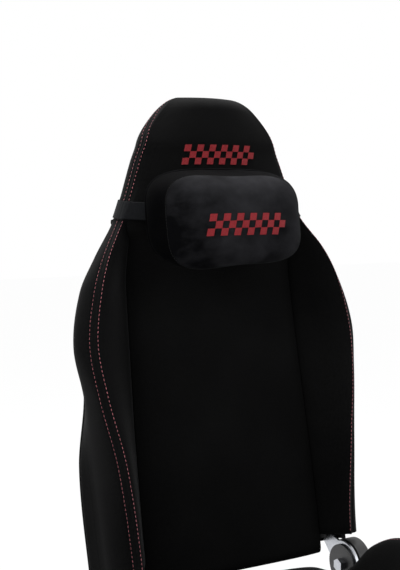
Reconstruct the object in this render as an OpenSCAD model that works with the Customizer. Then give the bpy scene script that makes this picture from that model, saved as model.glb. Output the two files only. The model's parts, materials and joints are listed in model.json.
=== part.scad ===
// Reclining racing seat: a padded shell on a tube frame, a sprung recliner and floor slides.
// X runs across the seat, the sitter faces -Y and Z is up.
// The origin is the centre of the floor bolt pattern, on the floor.
// "left" and "right" are the sitter's own sides, so left is +X.

/* [Hip pivot] */
// Distance of the hip pivot behind the centre of the floor bolts
hip_y = 190; // [182:1:198]
// Height of the hip pivot above the floor
hip_z = 150; // [144:1:160]
// Lean of the backrest from the vertical, degrees
recline = 11; // [8:0.5:14]
// Rise of the seat cushion towards its front, degrees
cushion_tilt = 7; // [5:0.5:9]

/* [Backrest heights, measured up the backrest from the hip pivot] */
// Lower edge of the centre pad
pad_hem_v = 26; // [24:1:40]
// Lower edge of the shoulder wings
wing_hem_v = 58; // [54:1:66]
// Waist, where the sides are straight
waist_v = 230; // [210:5:250]
// Where the shoulder wings begin to flare
flare_v = 340; // [325:5:355]
// Widest line of the shoulder wings
shoulder_v = 430; // [415:5:445]
// Where the shoulders begin to slope in
upper_v = 520; // [505:5:530]
// Middle of the slope from shoulder to neck
slope_v = 576; // [565:1:585]
// Neck, where the pillow strap runs
neck_v = 640; // [634:1:648]
// Temples of the head section
temple_v = 740; // [725:5:750]
// Top of the head section
back_len = 848; // [838:5:878]

/* [Backrest widths, each half of the whole] */
// Half width of the sides at the lower edge
hem_half = 246; // [240:1:256]
// Half width of the sides at the waist
waist_half = 253; // [246:1:258]
// Half width where the wings begin to flare
flare_half = 260; // [254:1:266]
// Half width across the shoulder wings
shoulder_half = 276; // [266:1:290]
// Half width where the shoulders begin to slope in
upper_half = 255; // [246:1:262]
// Half width at the middle of the slope
slope_half = 222; // [212:1:232]
// Half width of the neck
neck_half = 178; // [172:1:188]
// Half width of the temples
temple_half = 141; // [135:1:150]
// Half width of the head where its top corners begin
crown_half = 129; // [124:1:134]
// Radius of the head's top corners
crown_r = 80; // [70:1:83]
// Half width that the sides would reach at the top if the corners were square
summit_half = 106; // [98:1:114]
// Narrowing of the sides towards the rear cover, at the shoulders
rear_taper = 42; // [30:1:50]
// Narrowing of the sides towards the rear cover, at the head's corners
head_taper = 50; // [40:1:54]
// Half width of the centre panel at the waist
panel_half = 174; // [166:1:180]
// How much narrower the centre panel is at the shoulders, each side
panel_taper = 9; // [4:1:14]

/* [Backrest depths] */
// Height of the shoulder wings in front of the centre panel
wing_rise = 50; // [42:1:56]
// Depth of the head section in front of the centre panel
head_rise = 54; // [46:1:56]
// Depth of the sewn groove along the centre panel
panel_groove = 6; // [3:1:9]
// Crown of the centre panel
panel_crown = 6; // [3:1:9]
// Depth of the pads behind the centre panel's face
pad_depth = 28; // [24:1:32]
// Depth of the rear cover behind the centre panel's face
cover_depth = 62; // [58:1:68]
// Wall of the rear cover
cover_wall = 2.5; // [2:0.5:3]
// Radius that rounds the head's face over its top edge
brow_r = 26; // [20:1:40]
// Radius that rounds the head's rear over its top edge
nape_r = 85; // [70:1:95]
// Depth of the head's crest in front of the centre panel
crest_w = 20; // [10:1:26]
// Width of the band between the two rows of stitching
band_w = 15; // [12:1:18]

/* [Seat cushion] */
// Length of the cushion in front of the hip pivot
cushion_len = 505; // [490:5:530]
// Length of the cushion behind the hip pivot
cushion_tail = 15; // [8:1:18]
// Half width of the centre cushion
cushion_half = 168; // [160:1:172]
// Height of the centre cushion's face above the hip line, at its middle
cushion_top = 14; // [10:1:18]
// Depth of the cushion's underside below the hip line
cushion_base = 45; // [42:1:48]
// Crown of the centre cushion
cushion_crown = 7; // [4:1:10]
// Radius of the cushion's front nose
nose_r = 46; // [38:1:54]
// Height of the thigh bolsters above the hip line
bolster_top = 74; // [66:1:84]
// Half width of the cushion over the thigh bolsters
bolster_half = 260; // [256:1:264]
// Distance of the thigh bolsters' rear ends in front of the hip pivot
bolster_tail = 62; // [60:1:72]

/* [Head pillow] */
// Width of the pillow
pillow_w = 313; // [290:1:316]
// Height of the pillow
pillow_h = 180; // [160:1:186]
// Depth of the pillow
pillow_d = 84; // [70:1:90]
// Width of the strap
strap_w = 30; // [26:1:36]
// Thickness of the strap
strap_t = 2; // [1:0.5:2.5]
// Room between the strap and the head section
strap_gap = 1.1; // [0.9:0.1:1.3]
// Drop of the pillow's centre below the neck line
pillow_drop = 15; // [12:1:18]
// How much lower the pillow's front panel hangs than its back
pillow_nod = 9; // [0:1:12]

/* [Tube frame] */
// Radius of the frame's side tubes
side_tube_r = 11; // [9:0.5:11.5]
// Radius of the frame's cross tubes
cross_tube_r = 9; // [7:0.5:10]
// Radius of the cushion frame's cross tubes
base_tube_r = 13; // [11:0.5:14]
// Room between the side tubes and the rear cover's sides at the shoulders
tube_room = 13; // [10:1:16]
// Wall of every tube
tube_wall = 2; // [1.5:0.5:2.5]
// Width of one elastic web behind the centre pad
web_w = 42; // [30:1:50]
// Thickness of the elastic webs
web_t = 2; // [1:0.5:2]
// Number of elastic webs
web_count = 4; // [3:1:5]

/* [Side plates and recliner] */
// Distance of each side plate's inner face from the middle
plate_x = 212; // [208:1:214]
// Thickness of the side plates and the seat pan's flanges
plate_t = 3; // [2.5:0.5:3.5]
// Thickness of the recliner arms, the pawls and the slide handle's arms
arm_t = 5; // [4:0.5:5.5]
// Radius of the hip pivot bolts
hip_bolt_r = 7; // [6:0.5:8]
// Tip radius of the recliner's teeth
sector_r = 42; // [40:0.5:43]
// Depth of the recliner's teeth
tooth_h = 4; // [3:0.5:5]
// Angle from one recliner tooth to the next, degrees
tooth_pitch = 6; // [5:1:8]
// Length of the pawls from the release rod to their tips
pawl_len = 38; // [36:1:40]
// Radius of the release rod
rod_r = 5; // [4:0.5:6]
// Length of the release lever
lever_len = 135; // [120:1:145]
// Depth of the recliner covers across the seat
shroud_d = 24; // [22:1:26]
// Wall of the recliner covers
shroud_wall = 2.5; // [2:0.5:3]
// Thickness of the seat pan
pan_t = 2; // [1.5:0.5:2.5]

/* [Floor slides] */
// Distance between the two slides, across the seat
bolt_span_x = 350; // [340:1:360]
// Distance between the front and rear floor bolts
bolt_span_y = 300; // [280:1:320]
// Radius of the floor bolt holes
bolt_hole_r = 4.25; // [3.25:0.25:5.25]
// Length of the floor rails
floor_rail_len = 430; // [400:5:460]
// Length of the upper rails
upper_rail_len = 360; // [340:5:380]
// Width of the floor rails
rail_w = 38; // [36:1:40]
// Height of the floor rails
rail_h = 24; // [22:1:26]
// Thickness of the rails' sheet
rail_t = 2.5; // [2:0.5:3]
// Radius of the slide balls
ball_r = 3.4; // [3:0.1:3.6]
// Number of balls in a row
balls_per_row = 5; // [3:1:7]
// Slide travel each way
slide_travel = 80; // [60:5:85]
// Distance from one latch notch to the next
notch_pitch = 12; // [10:1:14]
// Radius of the slide handle's bar
handle_r = 6; // [5:0.5:6.5]
// Reach of the slide handle in front of the floor bolts' centre
handle_reach = 300; // [280:5:305]

/* [Clearances] */
// Gap between neighbouring pads
seam_gap = 0.4; // [0.3:0.1:0.6]
// Radial running clearance of pins in their holes
run_gap = 0.05; // [0.03:0.01:0.08]
// Gap between parts that pass each other
pass_gap = 0.5; // [0.4:0.1:0.8]
// Gap between the recliner's teeth and the pawls, and under the latch teeth
tooth_gap = 0.35; // [0.3:0.05:0.5]

/* [Hidden] */

$fn = 48;
eps = 0.01;
bend_swell = 0.6;
fabric_tint = [0.10, 0.10, 0.11];
velvet_tint = [0.15, 0.15, 0.17];
steel_tint = [0.20, 0.20, 0.21];
zinc_tint = [0.66, 0.67, 0.69];
plastic_tint = [0.12, 0.12, 0.12];

// ---------------------------------------------------------------- curves and skins

// Slope of a curve at one of its stations, level at both ends
function station_slope(t, i) =
    i == 0 || i == len(t) - 1 ? 0 : (t[i + 1][1] - t[i - 1][1]) / (t[i + 1][0] - t[i - 1][0]);
function station_span(t, x, i = 0) =
    i >= len(t) - 2 || x < t[i + 1][0] ? i : station_span(t, x, i + 1);
// Smooth curve through [place, value] stations
function curve(t, x) =
    let (i = station_span(t, x), d = t[i + 1][0] - t[i][0])
    let (f = min(max((x - t[i][0]) / d, 0), 1))
    let (sa = station_slope(t, i) * d, sb = station_slope(t, i + 1) * d)
    t[i][1] * (2 * f ^ 3 - 3 * f ^ 2 + 1) + t[i + 1][1] * (3 * f ^ 2 - 2 * f ^ 3)
    + sa * (f ^ 3 - 2 * f ^ 2 + f) + sb * (f ^ 3 - f ^ 2);

function reversed(list) = [for (i = [len(list) - 1:-1:0]) list[i]];
function mirrored_x(list) = [for (p = list) [-p[0], p[1]]];
// A half outline that starts on the middle line, made whole
function whole(half) = concat(reversed(mirrored_x([for (i = [1:len(half) - 1]) half[i]])), half);
function middle(list) = [for (k = [0:2]) (min([for (p = list) p[k]]) + max([for (p = list) p[k]])) / 2];

// Closed skin through rings of equally many points, its ends closed by fans
module skin(rings) {
    n = len(rings[0]);
    m = len(rings);
    points = concat([for (r = rings) each r], [middle(rings[0]), middle(rings[m - 1])]);
    walls = [for (i = [0:m - 2], j = [0:n - 1]) let (k = (j + 1) % n) each [
        [i * n + k, i * n + j, (i + 1) * n + k], [i * n + j, (i + 1) * n + j, (i + 1) * n + k]
    ]];
    ends = [for (j = [0:n - 1]) let (k = (j + 1) % n) each [
        [m * n, j, k], [m * n + 1, (m - 1) * n + k, (m - 1) * n + j]
    ]];
    polyhedron(points, concat(walls, ends));
}

// ---------------------------------------------------------------- frames and small shapes

// Backrest frame: u across, v up the backrest and w forward, from the hip pivot
module on_back() {
    translate([0, hip_y, hip_z]) rotate([-recline, 0, 0]) children();
}
// Cushion frame: u across, l forward along the cushion and h up, from the hip pivot
module on_cushion() {
    translate([0, hip_y, hip_z]) rotate([-cushion_tilt, 0, 0]) children();
}
function back_ring(points, v) = [for (p = points) [p[0], -p[1], v]];
function cushion_ring(points, l) = [for (p = points) [p[0], -l, p[1]]];
// Place of a cushion point as [y, z] in the seat's own frame
function cushion_yz(l, h) = [
    hip_y - l * cos(cushion_tilt) + h * sin(cushion_tilt),
    hip_z + l * sin(cushion_tilt) + h * cos(cushion_tilt)
];

module on_side(side) {
    if (side > 0) children();
    else mirror([1, 0, 0]) children();
}
// Shape drawn in the YZ plane, extruded across the seat from x0 to x1
module across(x0, x1) {
    translate([x0, 0, 0]) rotate([90, 0, 90]) linear_extrude(x1 - x0) children();
}
module rod_x(r, x0, x1, yz) {
    translate([x0, yz[0], yz[1]]) rotate([0, 90, 0]) cylinder(r = r, h = x1 - x0);
}
module disc(r, yz) {
    translate(yz) circle(r);
}
module bar(a, b, r) {
    d = b - a;
    run = sqrt(d[0] ^ 2 + d[1] ^ 2);
    translate(a) rotate([0, atan2(run, d[2]), atan2(d[1], d[0])]) cylinder(r = r, h = norm(d));
}
// Bent bar through a list of points, each bend closed by a ball a little wider than the bar
module bent_bar(points, r) {
    for (i = [0:len(points) - 2]) bar(points[i], points[i + 1], r);
    for (i = [1:len(points) - 2]) translate(points[i]) sphere(r + bend_swell);
}

// ---------------------------------------------------------------- backrest outline

corner_v = back_len - crown_r;
split_w = -pad_depth;
web_w0 = -(pad_depth + pass_gap);
tube_w = web_w0 - web_t - side_tube_r;
join_v = neck_v - 40;
side_tip_w = -50;

half_stations = [
    [0, hem_half], [wing_hem_v, hem_half], [waist_v, waist_half], [flare_v, flare_half],
    [shoulder_v, shoulder_half], [upper_v, upper_half], [slope_v, slope_half],
    [neck_v, neck_half], [temple_v, temple_half], [corner_v, crown_half], [back_len, summit_half]
];
taper_stations = [
    [wing_hem_v, -10], [waist_v, -5], [flare_v, rear_taper / 2], [shoulder_v, rear_taper],
    [upper_v, rear_taper], [neck_v, rear_taper * 0.85], [corner_v, head_taper]
];
// Distance of the outer stitching inside the widest line
stitch_stations = [
    [wing_hem_v, 28], [waist_v, 19], [flare_v, 6], [shoulder_v, 15], [upper_v, 12],
    [slope_v, 4], [neck_v, 1], [corner_v, 2]
];
// Height of the outer stitching in front of the centre panel
stitch_rise_stations = [
    [wing_hem_v, wing_rise - 16], [waist_v, wing_rise - 5], [flare_v, wing_rise - 8],
    [shoulder_v, wing_rise - 14], [upper_v, wing_rise - 15], [slope_v, wing_rise - 22],
    [neck_v, 15], [temple_v, crest_w + 5], [corner_v, crest_w + 14]
];
band_turn_stations = [[wing_hem_v, 45], [flare_v, 45], [upper_v, 32], [slope_v, 18], [corner_v, 14]];
side_rise_stations = [
    [wing_hem_v, -8], [waist_v, -8], [flare_v, 6], [shoulder_v, 12], [upper_v, 8],
    [neck_v, -4], [temple_v, crest_w / 2], [corner_v, crest_w - 5]
];
panel_stations = [
    [wing_hem_v, panel_half + 2], [waist_v, panel_half], [shoulder_v, panel_half - panel_taper * 0.7],
    [upper_v, panel_half - panel_taper], [slope_v, panel_half - panel_taper * 1.3]
];
face_stations = [
    [0, 0], [upper_v, 0], [slope_v, 8], [neck_v, head_rise - 8], [temple_v, head_rise],
    [corner_v, head_rise]
];
edge_stations = [
    [0, -panel_groove], [upper_v, -panel_groove], [slope_v, 5], [neck_v, 33], [temple_v, 44],
    [corner_v, 50]
];
face_power_stations = [[0, 12], [upper_v, 10], [neck_v, 3], [corner_v, 2.6]];

function crown_k(v) =
    v <= corner_v ? 1
    : (crown_half - crown_r + sqrt(max(crown_r ^ 2 - (v - corner_v) ^ 2, 0))) / crown_half;
function brow_k(v, r) = v <= back_len - r ? 1 : sqrt(max(1 - ((v - back_len + r) / r) ^ 2, 0.0004));
// A section point drawn in towards the head's rounded top
function drawn_in(p, v) = [
    p[0] * crown_k(v), crest_w + (p[1] - crest_w) * brow_k(v, p[1] > crest_w ? brow_r : nape_r)
];

function outer_stitch(v) = [
    curve(half_stations, v) - curve(stitch_stations, v), curve(stitch_rise_stations, v)
];
function inner_stitch(v) =
    let (turn = curve(band_turn_stations, v))
    outer_stitch(v) + band_w * [-sin(turn), cos(turn)];
function panel_edge(v) = v < slope_v
    ? curve(panel_stations, v)
    : min(curve(panel_stations, slope_v) + (v - slope_v) * 0.1, inner_stitch(v)[0] - 10);

face_steps = 7;
slope_steps = 5;
// Front of the centre panel or the head, from the middle to the panel's edge
function face_points(v, trim = 0) =
    let (edge = panel_edge(v), rise = curve(face_stations, v), low = curve(edge_stations, v))
    let (power = curve(face_power_stations, v))
    [for (i = [0:face_steps]) let (f = sin(90 * i / face_steps)) [
        f * (edge - trim), low + (rise - low) * (1 - f ^ power) + panel_crown * (1 - f ^ 2)
    ]];
// Share of a slope's rise: it lifts gently out of the seam and flattens again at its top
function eased(f) = 3 * f ^ 2 - 2 * f ^ 3 + 0.7 * (f - 2 * f ^ 2 + f ^ 3) + 0.4 * (f ^ 3 - f ^ 2);
// Inner slope of a wing, from the panel's edge to the inner stitching
function slope_points(v) =
    let (edge = panel_edge(v), low = curve(edge_stations, v), tip = inner_stitch(v))
    [for (i = [1:slope_steps]) let (f = i / slope_steps) [
        edge + (tip[0] - edge) * f,
        low + (tip[1] - low) * eased(f) + 2 * sin(180 * f)
    ]];
// Band, side wall and the narrowing side as far back as the pads reach
function flank_points(v) =
    let (a = outer_stitch(v), half = curve(half_stations, v), mid = curve(side_rise_stations, v))
    let (taper = curve(taper_stations, v))
    concat(
        [a],
        [for (t = [30, 60, 90]) [a[0] + (half - a[0]) * sin(t), a[1] - (a[1] - mid) * (1 - cos(t))]],
        [for (w = [(mid + split_w) / 2, split_w])
            [half - taper * (1 - cos(90 * (mid - w) / (mid - side_tip_w))), w]]
    );
// Rear of the backrest from the pads' edge to the middle line
function rear_points(v) =
    let (half = curve(half_stations, v), taper = curve(taper_stations, v))
    let (mid = curve(side_rise_stations, v), tip = half - taper, deep = -cover_depth)
    let (w1 = split_w - seam_gap, w2 = (split_w + side_tip_w) / 2)
    concat(
        [for (w = [w1, w2]) [half - taper * (1 - cos(90 * (mid - w) / (mid - side_tip_w))), w]],
        [[tip, side_tip_w], [tip - 5, deep + 6], [tip - 15, deep + 1.5]],
        [for (f = [0.62, 0.3, 0]) [tip * f, deep]]
    );

function drawn(points, v) = [for (p = points) drawn_in(p, v)];
// Softening of a pad's lower edge
function hem_drop(v, hem) =
    let (r = 14, t = min(max((hem + r - v) / r, 0), 1)) 8 * (1 - sqrt(1 - t ^ 2));
function lowered(points, drop) = [for (p = points) [p[0], p[1] - drop]];
function rows(from, to, steps) = [for (i = [0:steps]) from + (to - from) * i / steps];
wing_rows = concat([wing_hem_v, wing_hem_v + 5], rows(wing_hem_v + 14, join_v, 22));
head_rows = concat(
    rows(join_v + seam_gap, corner_v, 8),
    [for (a = [14, 28, 42, 55, 67, 78, 87]) corner_v + crown_r * sin(a)]
);

// ---------------------------------------------------------------- backrest soft parts

module back_centre_pad() {
    color(fabric_tint) on_back() skin([
        for (v = concat([pad_hem_v, pad_hem_v + 5, pad_hem_v + 14], wing_rows))
            let (face = lowered(face_points(v, seam_gap / 2), hem_drop(v, pad_hem_v)))
            let (edge = face[face_steps][0])
            back_ring(concat(whole(face), [[edge, split_w], [-edge, split_w]]), v)
    ]);
}

module back_wing(side) {
    color(fabric_tint) on_back() on_side(side) skin([
        for (v = wing_rows)
            let (edge = panel_edge(v) + seam_gap / 2)
            let (seam = [edge, curve(edge_stations, v)])
            let (front = lowered(concat([seam], slope_points(v)), hem_drop(v, wing_hem_v)))
            back_ring(concat(front, flank_points(v), [[edge, split_w]]), v)
    ]);
}
module back_wing_left() { back_wing(1); }
module back_wing_right() { back_wing(-1); }

module head_pad() {
    color(fabric_tint) on_back() skin([
        for (v = head_rows)
            back_ring(drawn(whole(concat(face_points(v), slope_points(v), flank_points(v))), v), v)
    ]);
}

shroud_r = sector_r + 2;
// The rear cover's lower edge swings clear of the recliner covers
cover_hem_v = sqrt((shroud_r + 2) ^ 2 - pad_depth ^ 2);
function cover_ring(v) = reversed(drawn(whole(reversed(rear_points(v))), v));
// The cover's inner face, carried past its open front
function hollow_ring(v) =
    let (k = (crown_half - cover_wall) / crown_half)
    let (d = (cover_depth - pad_depth - cover_wall) / (cover_depth - pad_depth))
    let (inner = [for (p = rear_points(v)) [p[0] * k, split_w + (p[1] - split_w) * d]])
    reversed(drawn(whole(reversed(concat([[inner[0][0], split_w + 2]], inner))), v));
module rear_cover() {
    color(fabric_tint) on_back() difference() {
        skin([for (v = concat(rows(cover_hem_v, join_v, 12), [for (v = head_rows) if (v > join_v + 9) v]))
            back_ring(cover_ring(v), v)]);
        skin([for (v = concat([cover_hem_v - 2], rows(cover_hem_v + 20, join_v, 11),
                              [for (v = head_rows) if (v > join_v + 9 && v < back_len - 3) v]))
            back_ring(hollow_ring(v), v)]);
    }
}

module rear_zip() {
    color(plastic_tint) on_back()
        translate([-waist_half * 0.8, cover_depth + pass_gap / 2, cover_hem_v + 24])
            cube([waist_half * 1.6, 1.6, 9]);
}

// ---------------------------------------------------------------- head pillow

pillow_v = neck_v - pillow_drop;
pillow_back_w = head_rise + panel_crown + pass_gap;
pillow_sides = 44;
// Rounded oblong outline, its long edges pressed in by dip at the middle
function oblong(half_w, half_h, dip, power) = [
    for (i = [0:pillow_sides - 1])
        let (a = 360 * i / pillow_sides, c = cos(a), s = sin(a))
        let (x = half_w * sign(c) * abs(c) ^ (2 / power), y = half_h * sign(s) * abs(s) ^ (2 / power))
        [x, y - sign(s) * dip * max(1 - (x / half_w / 0.7) ^ 2, 0) ^ 2 * abs(s)]
];
// Layers of the pillow from its back to its front: [depth, width, height, dip, corner power]
pillow_layers = [
    [0, 0.80, 0.72, 0, 3.4], [0.02, 0.95, 0.92, 0, 3.6], [0.08, 0.995, 0.985, 0, 3.8],
    [0.14, 1, 1, 0, 3.8], [0.30, 0.985, 0.975, 1, 3.8], [0.46, 0.945, 0.93, 3, 3.8],
    [0.59, 0.885, 0.885, 6, 4], [0.66, 0.84, 0.855, 8, 4], [0.73, 0.80, 0.82, 7, 3.8],
    [0.83, 0.71, 0.72, 6, 3.4], [0.92, 0.56, 0.57, 4, 3], [0.975, 0.38, 0.38, 2, 2.6],
    [1, 0.17, 0.17, 0, 2]
];
module head_pillow() {
    color(velvet_tint) on_back() skin([
        for (p = pillow_layers) [
            for (q = oblong(pillow_w / 2 * p[1], pillow_h / 2 * p[2], p[3], p[4]))
                [q[0], -pillow_back_w - pillow_d * p[0], pillow_v + q[1] - pillow_nod * min(p[0] / 0.6, 1)]
        ]
    ]);
}

// The strap climbs towards the back of the head by this much for each millimetre of depth
strap_lean = 0.26;
// Height of the strap above the neck where it passes the centre panel's plane
strap_lift = 17;
// Outside of the neck, from the slope beside the face round to the middle of the rear cover
function neck_points(v) = concat(
    [for (i = [2:slope_steps - 1]) slope_points(v)[i]], flank_points(v), rear_points(v)
);
function strap_height(w, side) = neck_v + strap_lift - strap_lean * w + side * strap_w / 2;
// Outward direction of an outline at one of its points
function outward(list, i) =
    let (a = list[max(i - 1, 0)], b = list[min(i + 1, len(list) - 1)], d = (b - a) / norm(b - a))
    [-d[1], d[0]];
function strap_point(i, side, depth) =
    let (rough = neck_points(neck_v), v = strap_height(rough[i][1], side), list = neck_points(v))
    let (p = list[i] + outward(list, i) * depth)
    [p[0], -p[1], v];
strap_anchor = [pillow_w / 2 * 0.80, pillow_back_w - 0.3];
function anchor_point(side, depth) =
    [strap_anchor[0], -(strap_anchor[1] - strap_t + depth - strap_gap), strap_height(pillow_back_w, side)];
function strap_ring(i) = [
    for (c = [[-1, 0], [-1, 1], [0, 1], [1, 1], [1, 0], [0, 0]])
        let (depth = strap_gap + c[1] * strap_t)
        i < 0 ? anchor_point(c[0], depth) : strap_point(i, c[0], depth)
];
module pillow_strap() {
    last = len(neck_points(neck_v)) - 1;
    half = [for (i = [-1:last]) strap_ring(i)];
    other = [for (i = [last - 1:-1:-1]) [for (p = strap_ring(i)) [-p[0], p[1], p[2]]]];
    color(plastic_tint) on_back() skin(concat(half, other));
}

module strap_slider() {
    outer = strap_w + 10;
    inner = strap_w + 2;
    front = cover_depth + strap_gap + strap_t + pass_gap / 2;
    centre_v = strap_height(-cover_depth, 0);
    color(plastic_tint) on_back() translate([40, front, centre_v]) difference() {
        translate([-14, 0, -outer / 2]) cube([28, 2.5, outer]);
        for (x = [-10, 2]) translate([x, -1, -inner / 2]) cube([8, 5, inner]);
    }
}

// ---------------------------------------------------------------- backrest frame

arm_x = plate_x + plate_t + 1;
back_tube_u = arm_x - side_tube_r - pass_gap / 2;
shoulder_tube_u = shoulder_half - rear_taper - cover_wall - side_tube_r - tube_room;
tube_elbow_v = waist_v + 28;
shoulder_elbow_v = upper_v - 50;
shoulder_cross_v = upper_v - 100;
head_tube_u = crown_half - head_taper - cover_wall - side_tube_r - 2;
head_tube_v = temple_v + 25;
back_tube_run = [
    [back_tube_u, -tube_w, cover_hem_v + 10], [back_tube_u, -tube_w, tube_elbow_v],
    [shoulder_tube_u, -tube_w, shoulder_elbow_v],
    [head_tube_u, -tube_w, neck_v + 45], [head_tube_u, -tube_w, head_tube_v]
];

module back_tube(side) {
    color(steel_tint) on_back() on_side(side) difference() {
        bent_bar(back_tube_run, side_tube_r);
        bent_bar(concat([back_tube_run[0] - [0, 0, 1]], [for (i = [1:3]) back_tube_run[i]],
                        [back_tube_run[4] + [0, 0, 1]]), side_tube_r - tube_wall);
    }
}
module back_tube_left() { back_tube(1); }
module back_tube_right() { back_tube(-1); }

// Cross tube of the backrest frame at height v, coped to side tubes at reach from the middle
module back_cross_tube(v, reach) {
    color(steel_tint) on_back() translate([0, -tube_w, v]) difference() {
        rod_x(cross_tube_r, -reach, reach, [0, 0]);
        rod_x(cross_tube_r - tube_wall, -reach - 1, reach + 1, [0, 0]);
        for (x = [-reach, reach])
            translate([x, 0, -2 * cross_tube_r])
                cylinder(r = side_tube_r + pass_gap / 2, h = 4 * cross_tube_r);
    }
}
module head_cross_tube() { back_cross_tube(head_tube_v - 14, head_tube_u); }
module shoulder_cross_tube() {
    rise = (shoulder_cross_v - tube_elbow_v) / (shoulder_elbow_v - tube_elbow_v);
    back_cross_tube(shoulder_cross_v, back_tube_u + (shoulder_tube_u - back_tube_u) * rise);
}
module lumbar_cross_tube() { back_cross_tube(waist_v, back_tube_u); }
module hip_cross_tube() { back_cross_tube(cover_hem_v + 30, back_tube_u); }

module back_webs() {
    color(plastic_tint) on_back() for (i = [0:web_count - 1])
        translate([-back_tube_u, -web_w0, waist_v - 115 + i * 82]) cube([2 * back_tube_u, web_t, web_w]);
}

// ---------------------------------------------------------------- recliner

pawl_turn = 135;
pawl_tip = [hip_y, hip_z] + (sector_r + tooth_gap) * [sin(pawl_turn), cos(pawl_turn)];
rod_yz = pawl_tip + pawl_len * [cos(pawl_turn), -sin(pawl_turn)];

// Recliner arm: a toothed lobe at the hip and a strip along the side tube
module recliner_arm(side) {
    root_r = sector_r - tooth_h;
    back = -tube_w + side_tube_r + 1;
    front = -tube_w - side_tube_r - 1;
    color(zinc_tint) on_back() on_side(side) difference() {
        union() {
            rod_x(sector_r, arm_x, arm_x + arm_t, [0, 0]);
            across(arm_x, arm_x + arm_t) polygon([
                [0, root_r], [front, wing_hem_v - 5], [front, wing_hem_v + 150],
                [back, wing_hem_v + 150], [back, wing_hem_v - 18], [root_r * 0.7, 0], [0, 0]
            ]);
        }
        for (a = [68:tooth_pitch:161]) across(arm_x - 1, arm_x + arm_t + 1) polygon([
            for (c = [[root_r, -0.16], [sector_r + 1, -0.36], [sector_r + 1, 0.36], [root_r, 0.16]])
                c[0] * [sin(a + c[1] * tooth_pitch), cos(a + c[1] * tooth_pitch)]
        ]);
        rod_x(hip_bolt_r + run_gap, arm_x - 1, arm_x + arm_t + 1, [0, 0]);
    }
}
module recliner_arm_left() { recliner_arm(1); }
module recliner_arm_right() { recliner_arm(-1); }

module hip_bolts() {
    color(zinc_tint) for (side = [-1, 1]) on_side(side) {
        rod_x(hip_bolt_r, plate_x - 9, arm_x + arm_t + pass_gap, [hip_y, hip_z]);
        rod_x(hip_bolt_r + 5, arm_x + arm_t + pass_gap, arm_x + arm_t + 6, [hip_y, hip_z]);
        translate([plate_x - 9, hip_y, hip_z]) rotate([0, 90, 0])
            cylinder(r = hip_bolt_r + 5, h = 9, $fn = 6);
    }
}

bush_r = rod_r + 3;
rod_end_left = arm_x + arm_t + 8;
shroud_x = arm_x + arm_t + 3;
lever_x = shroud_x + shroud_d + 6;
lever_t = 6;
module release_rod() {
    color(zinc_tint) rod_x(rod_r, -lever_x - lever_t - 3, rod_end_left, rod_yz);
}
module pawl(side) {
    nose = pawl_tip - rod_yz;
    outward_dir = [nose[1], -nose[0]] / norm(nose);
    color(zinc_tint) on_side(side) difference() {
        union() {
            rod_x(rod_r + 5, arm_x, arm_x + arm_t, rod_yz);
            across(arm_x, arm_x + arm_t) polygon([
                rod_yz, rod_yz + outward_dir * (rod_r + 4), pawl_tip + outward_dir * 8 - nose * 0.1,
                pawl_tip + outward_dir * 3, pawl_tip
            ]);
        }
        rod_x(rod_r + run_gap / 2, arm_x - 1, arm_x + arm_t + 1, rod_yz);
    }
}
module pawl_left() { pawl(1); }
module pawl_right() { pawl(-1); }

module rod_bushes() {
    color(plastic_tint) for (side = [-1, 1]) on_side(side) difference() {
        union() {
            rod_x(bush_r, plate_x - 3, plate_x + plate_t, rod_yz);
            rod_x(bush_r + 3, plate_x - 3, plate_x - eps, rod_yz);
        }
        rod_x(rod_r + run_gap, plate_x - 4, plate_x + plate_t + 1, rod_yz);
    }
}

lever_lift = 4;
lever_tip = rod_yz + lever_len * [-cos(lever_lift), sin(lever_lift)];
module release_lever() {
    color(steel_tint) difference() {
        union() {
            rod_x(rod_r + 6, -lever_x - lever_t, -lever_x, rod_yz);
            across(-lever_x - lever_t, -lever_x) polygon([
                rod_yz + [0, rod_r + 6], rod_yz + [0, -rod_r - 6],
                lever_tip + [0, -6], lever_tip + [0, 6]
            ]);
        }
        rod_x(rod_r + run_gap / 2, -lever_x - lever_t - 1, -lever_x + 1, rod_yz);
    }
}
module lever_grip() {
    grip_x = -lever_x - lever_t / 2;
    grip = lever_len * 0.45;
    color(plastic_tint) difference() {
        hull() for (d = [8, grip])
            translate([grip_x, lever_tip[0] - 12 + d, lever_tip[1] - (d - 12) * tan(lever_lift)])
                scale([0.65, 1, 1]) sphere(11, $fn = 28);
        across(-lever_x - lever_t - run_gap, -lever_x + run_gap) polygon([
            rod_yz + [0, rod_r + 6 + run_gap], rod_yz + [0, -rod_r - 6 - run_gap],
            lever_tip + [-run_gap, -6 - run_gap], lever_tip + [-run_gap, 6 + run_gap]
        ]);
    }
}

// ---------------------------------------------------------------- recliner covers

boss_yz = [cushion_yz(118, -cushion_base - 22), cushion_yz(62, -cushion_base - 28)];
module shroud_outline(grow = 0) {
    disc(shroud_r + grow, [hip_y, hip_z]);
    hull() {
        disc(24 + grow, rod_yz);
        disc(shroud_r - 10 + grow, [hip_y, hip_z]);
    }
    hull() {
        disc(24 + grow, rod_yz);
        disc(14 + grow, boss_yz[0]);
    }
}
module recliner_cover(side) {
    color(plastic_tint) on_side(side) difference() {
        union() {
            difference() {
                across(shroud_x, shroud_x + shroud_d) shroud_outline();
                across(shroud_x - 1, shroud_x + shroud_d - shroud_wall) shroud_outline(-shroud_wall);
            }
            for (b = boss_yz) rod_x(5, plate_x + plate_t + pass_gap / 2, shroud_x + shroud_d - 1, b);
        }
        if (side < 0) rod_x(rod_r + 1.5, shroud_x - 1, shroud_x + shroud_d + 1, rod_yz);
        for (b = boss_yz) rod_x(2 + run_gap, plate_x, shroud_x + shroud_d + 1, b);
    }
}
module recliner_cover_left() { recliner_cover(1); }
module recliner_cover_right() { recliner_cover(-1); }

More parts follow.
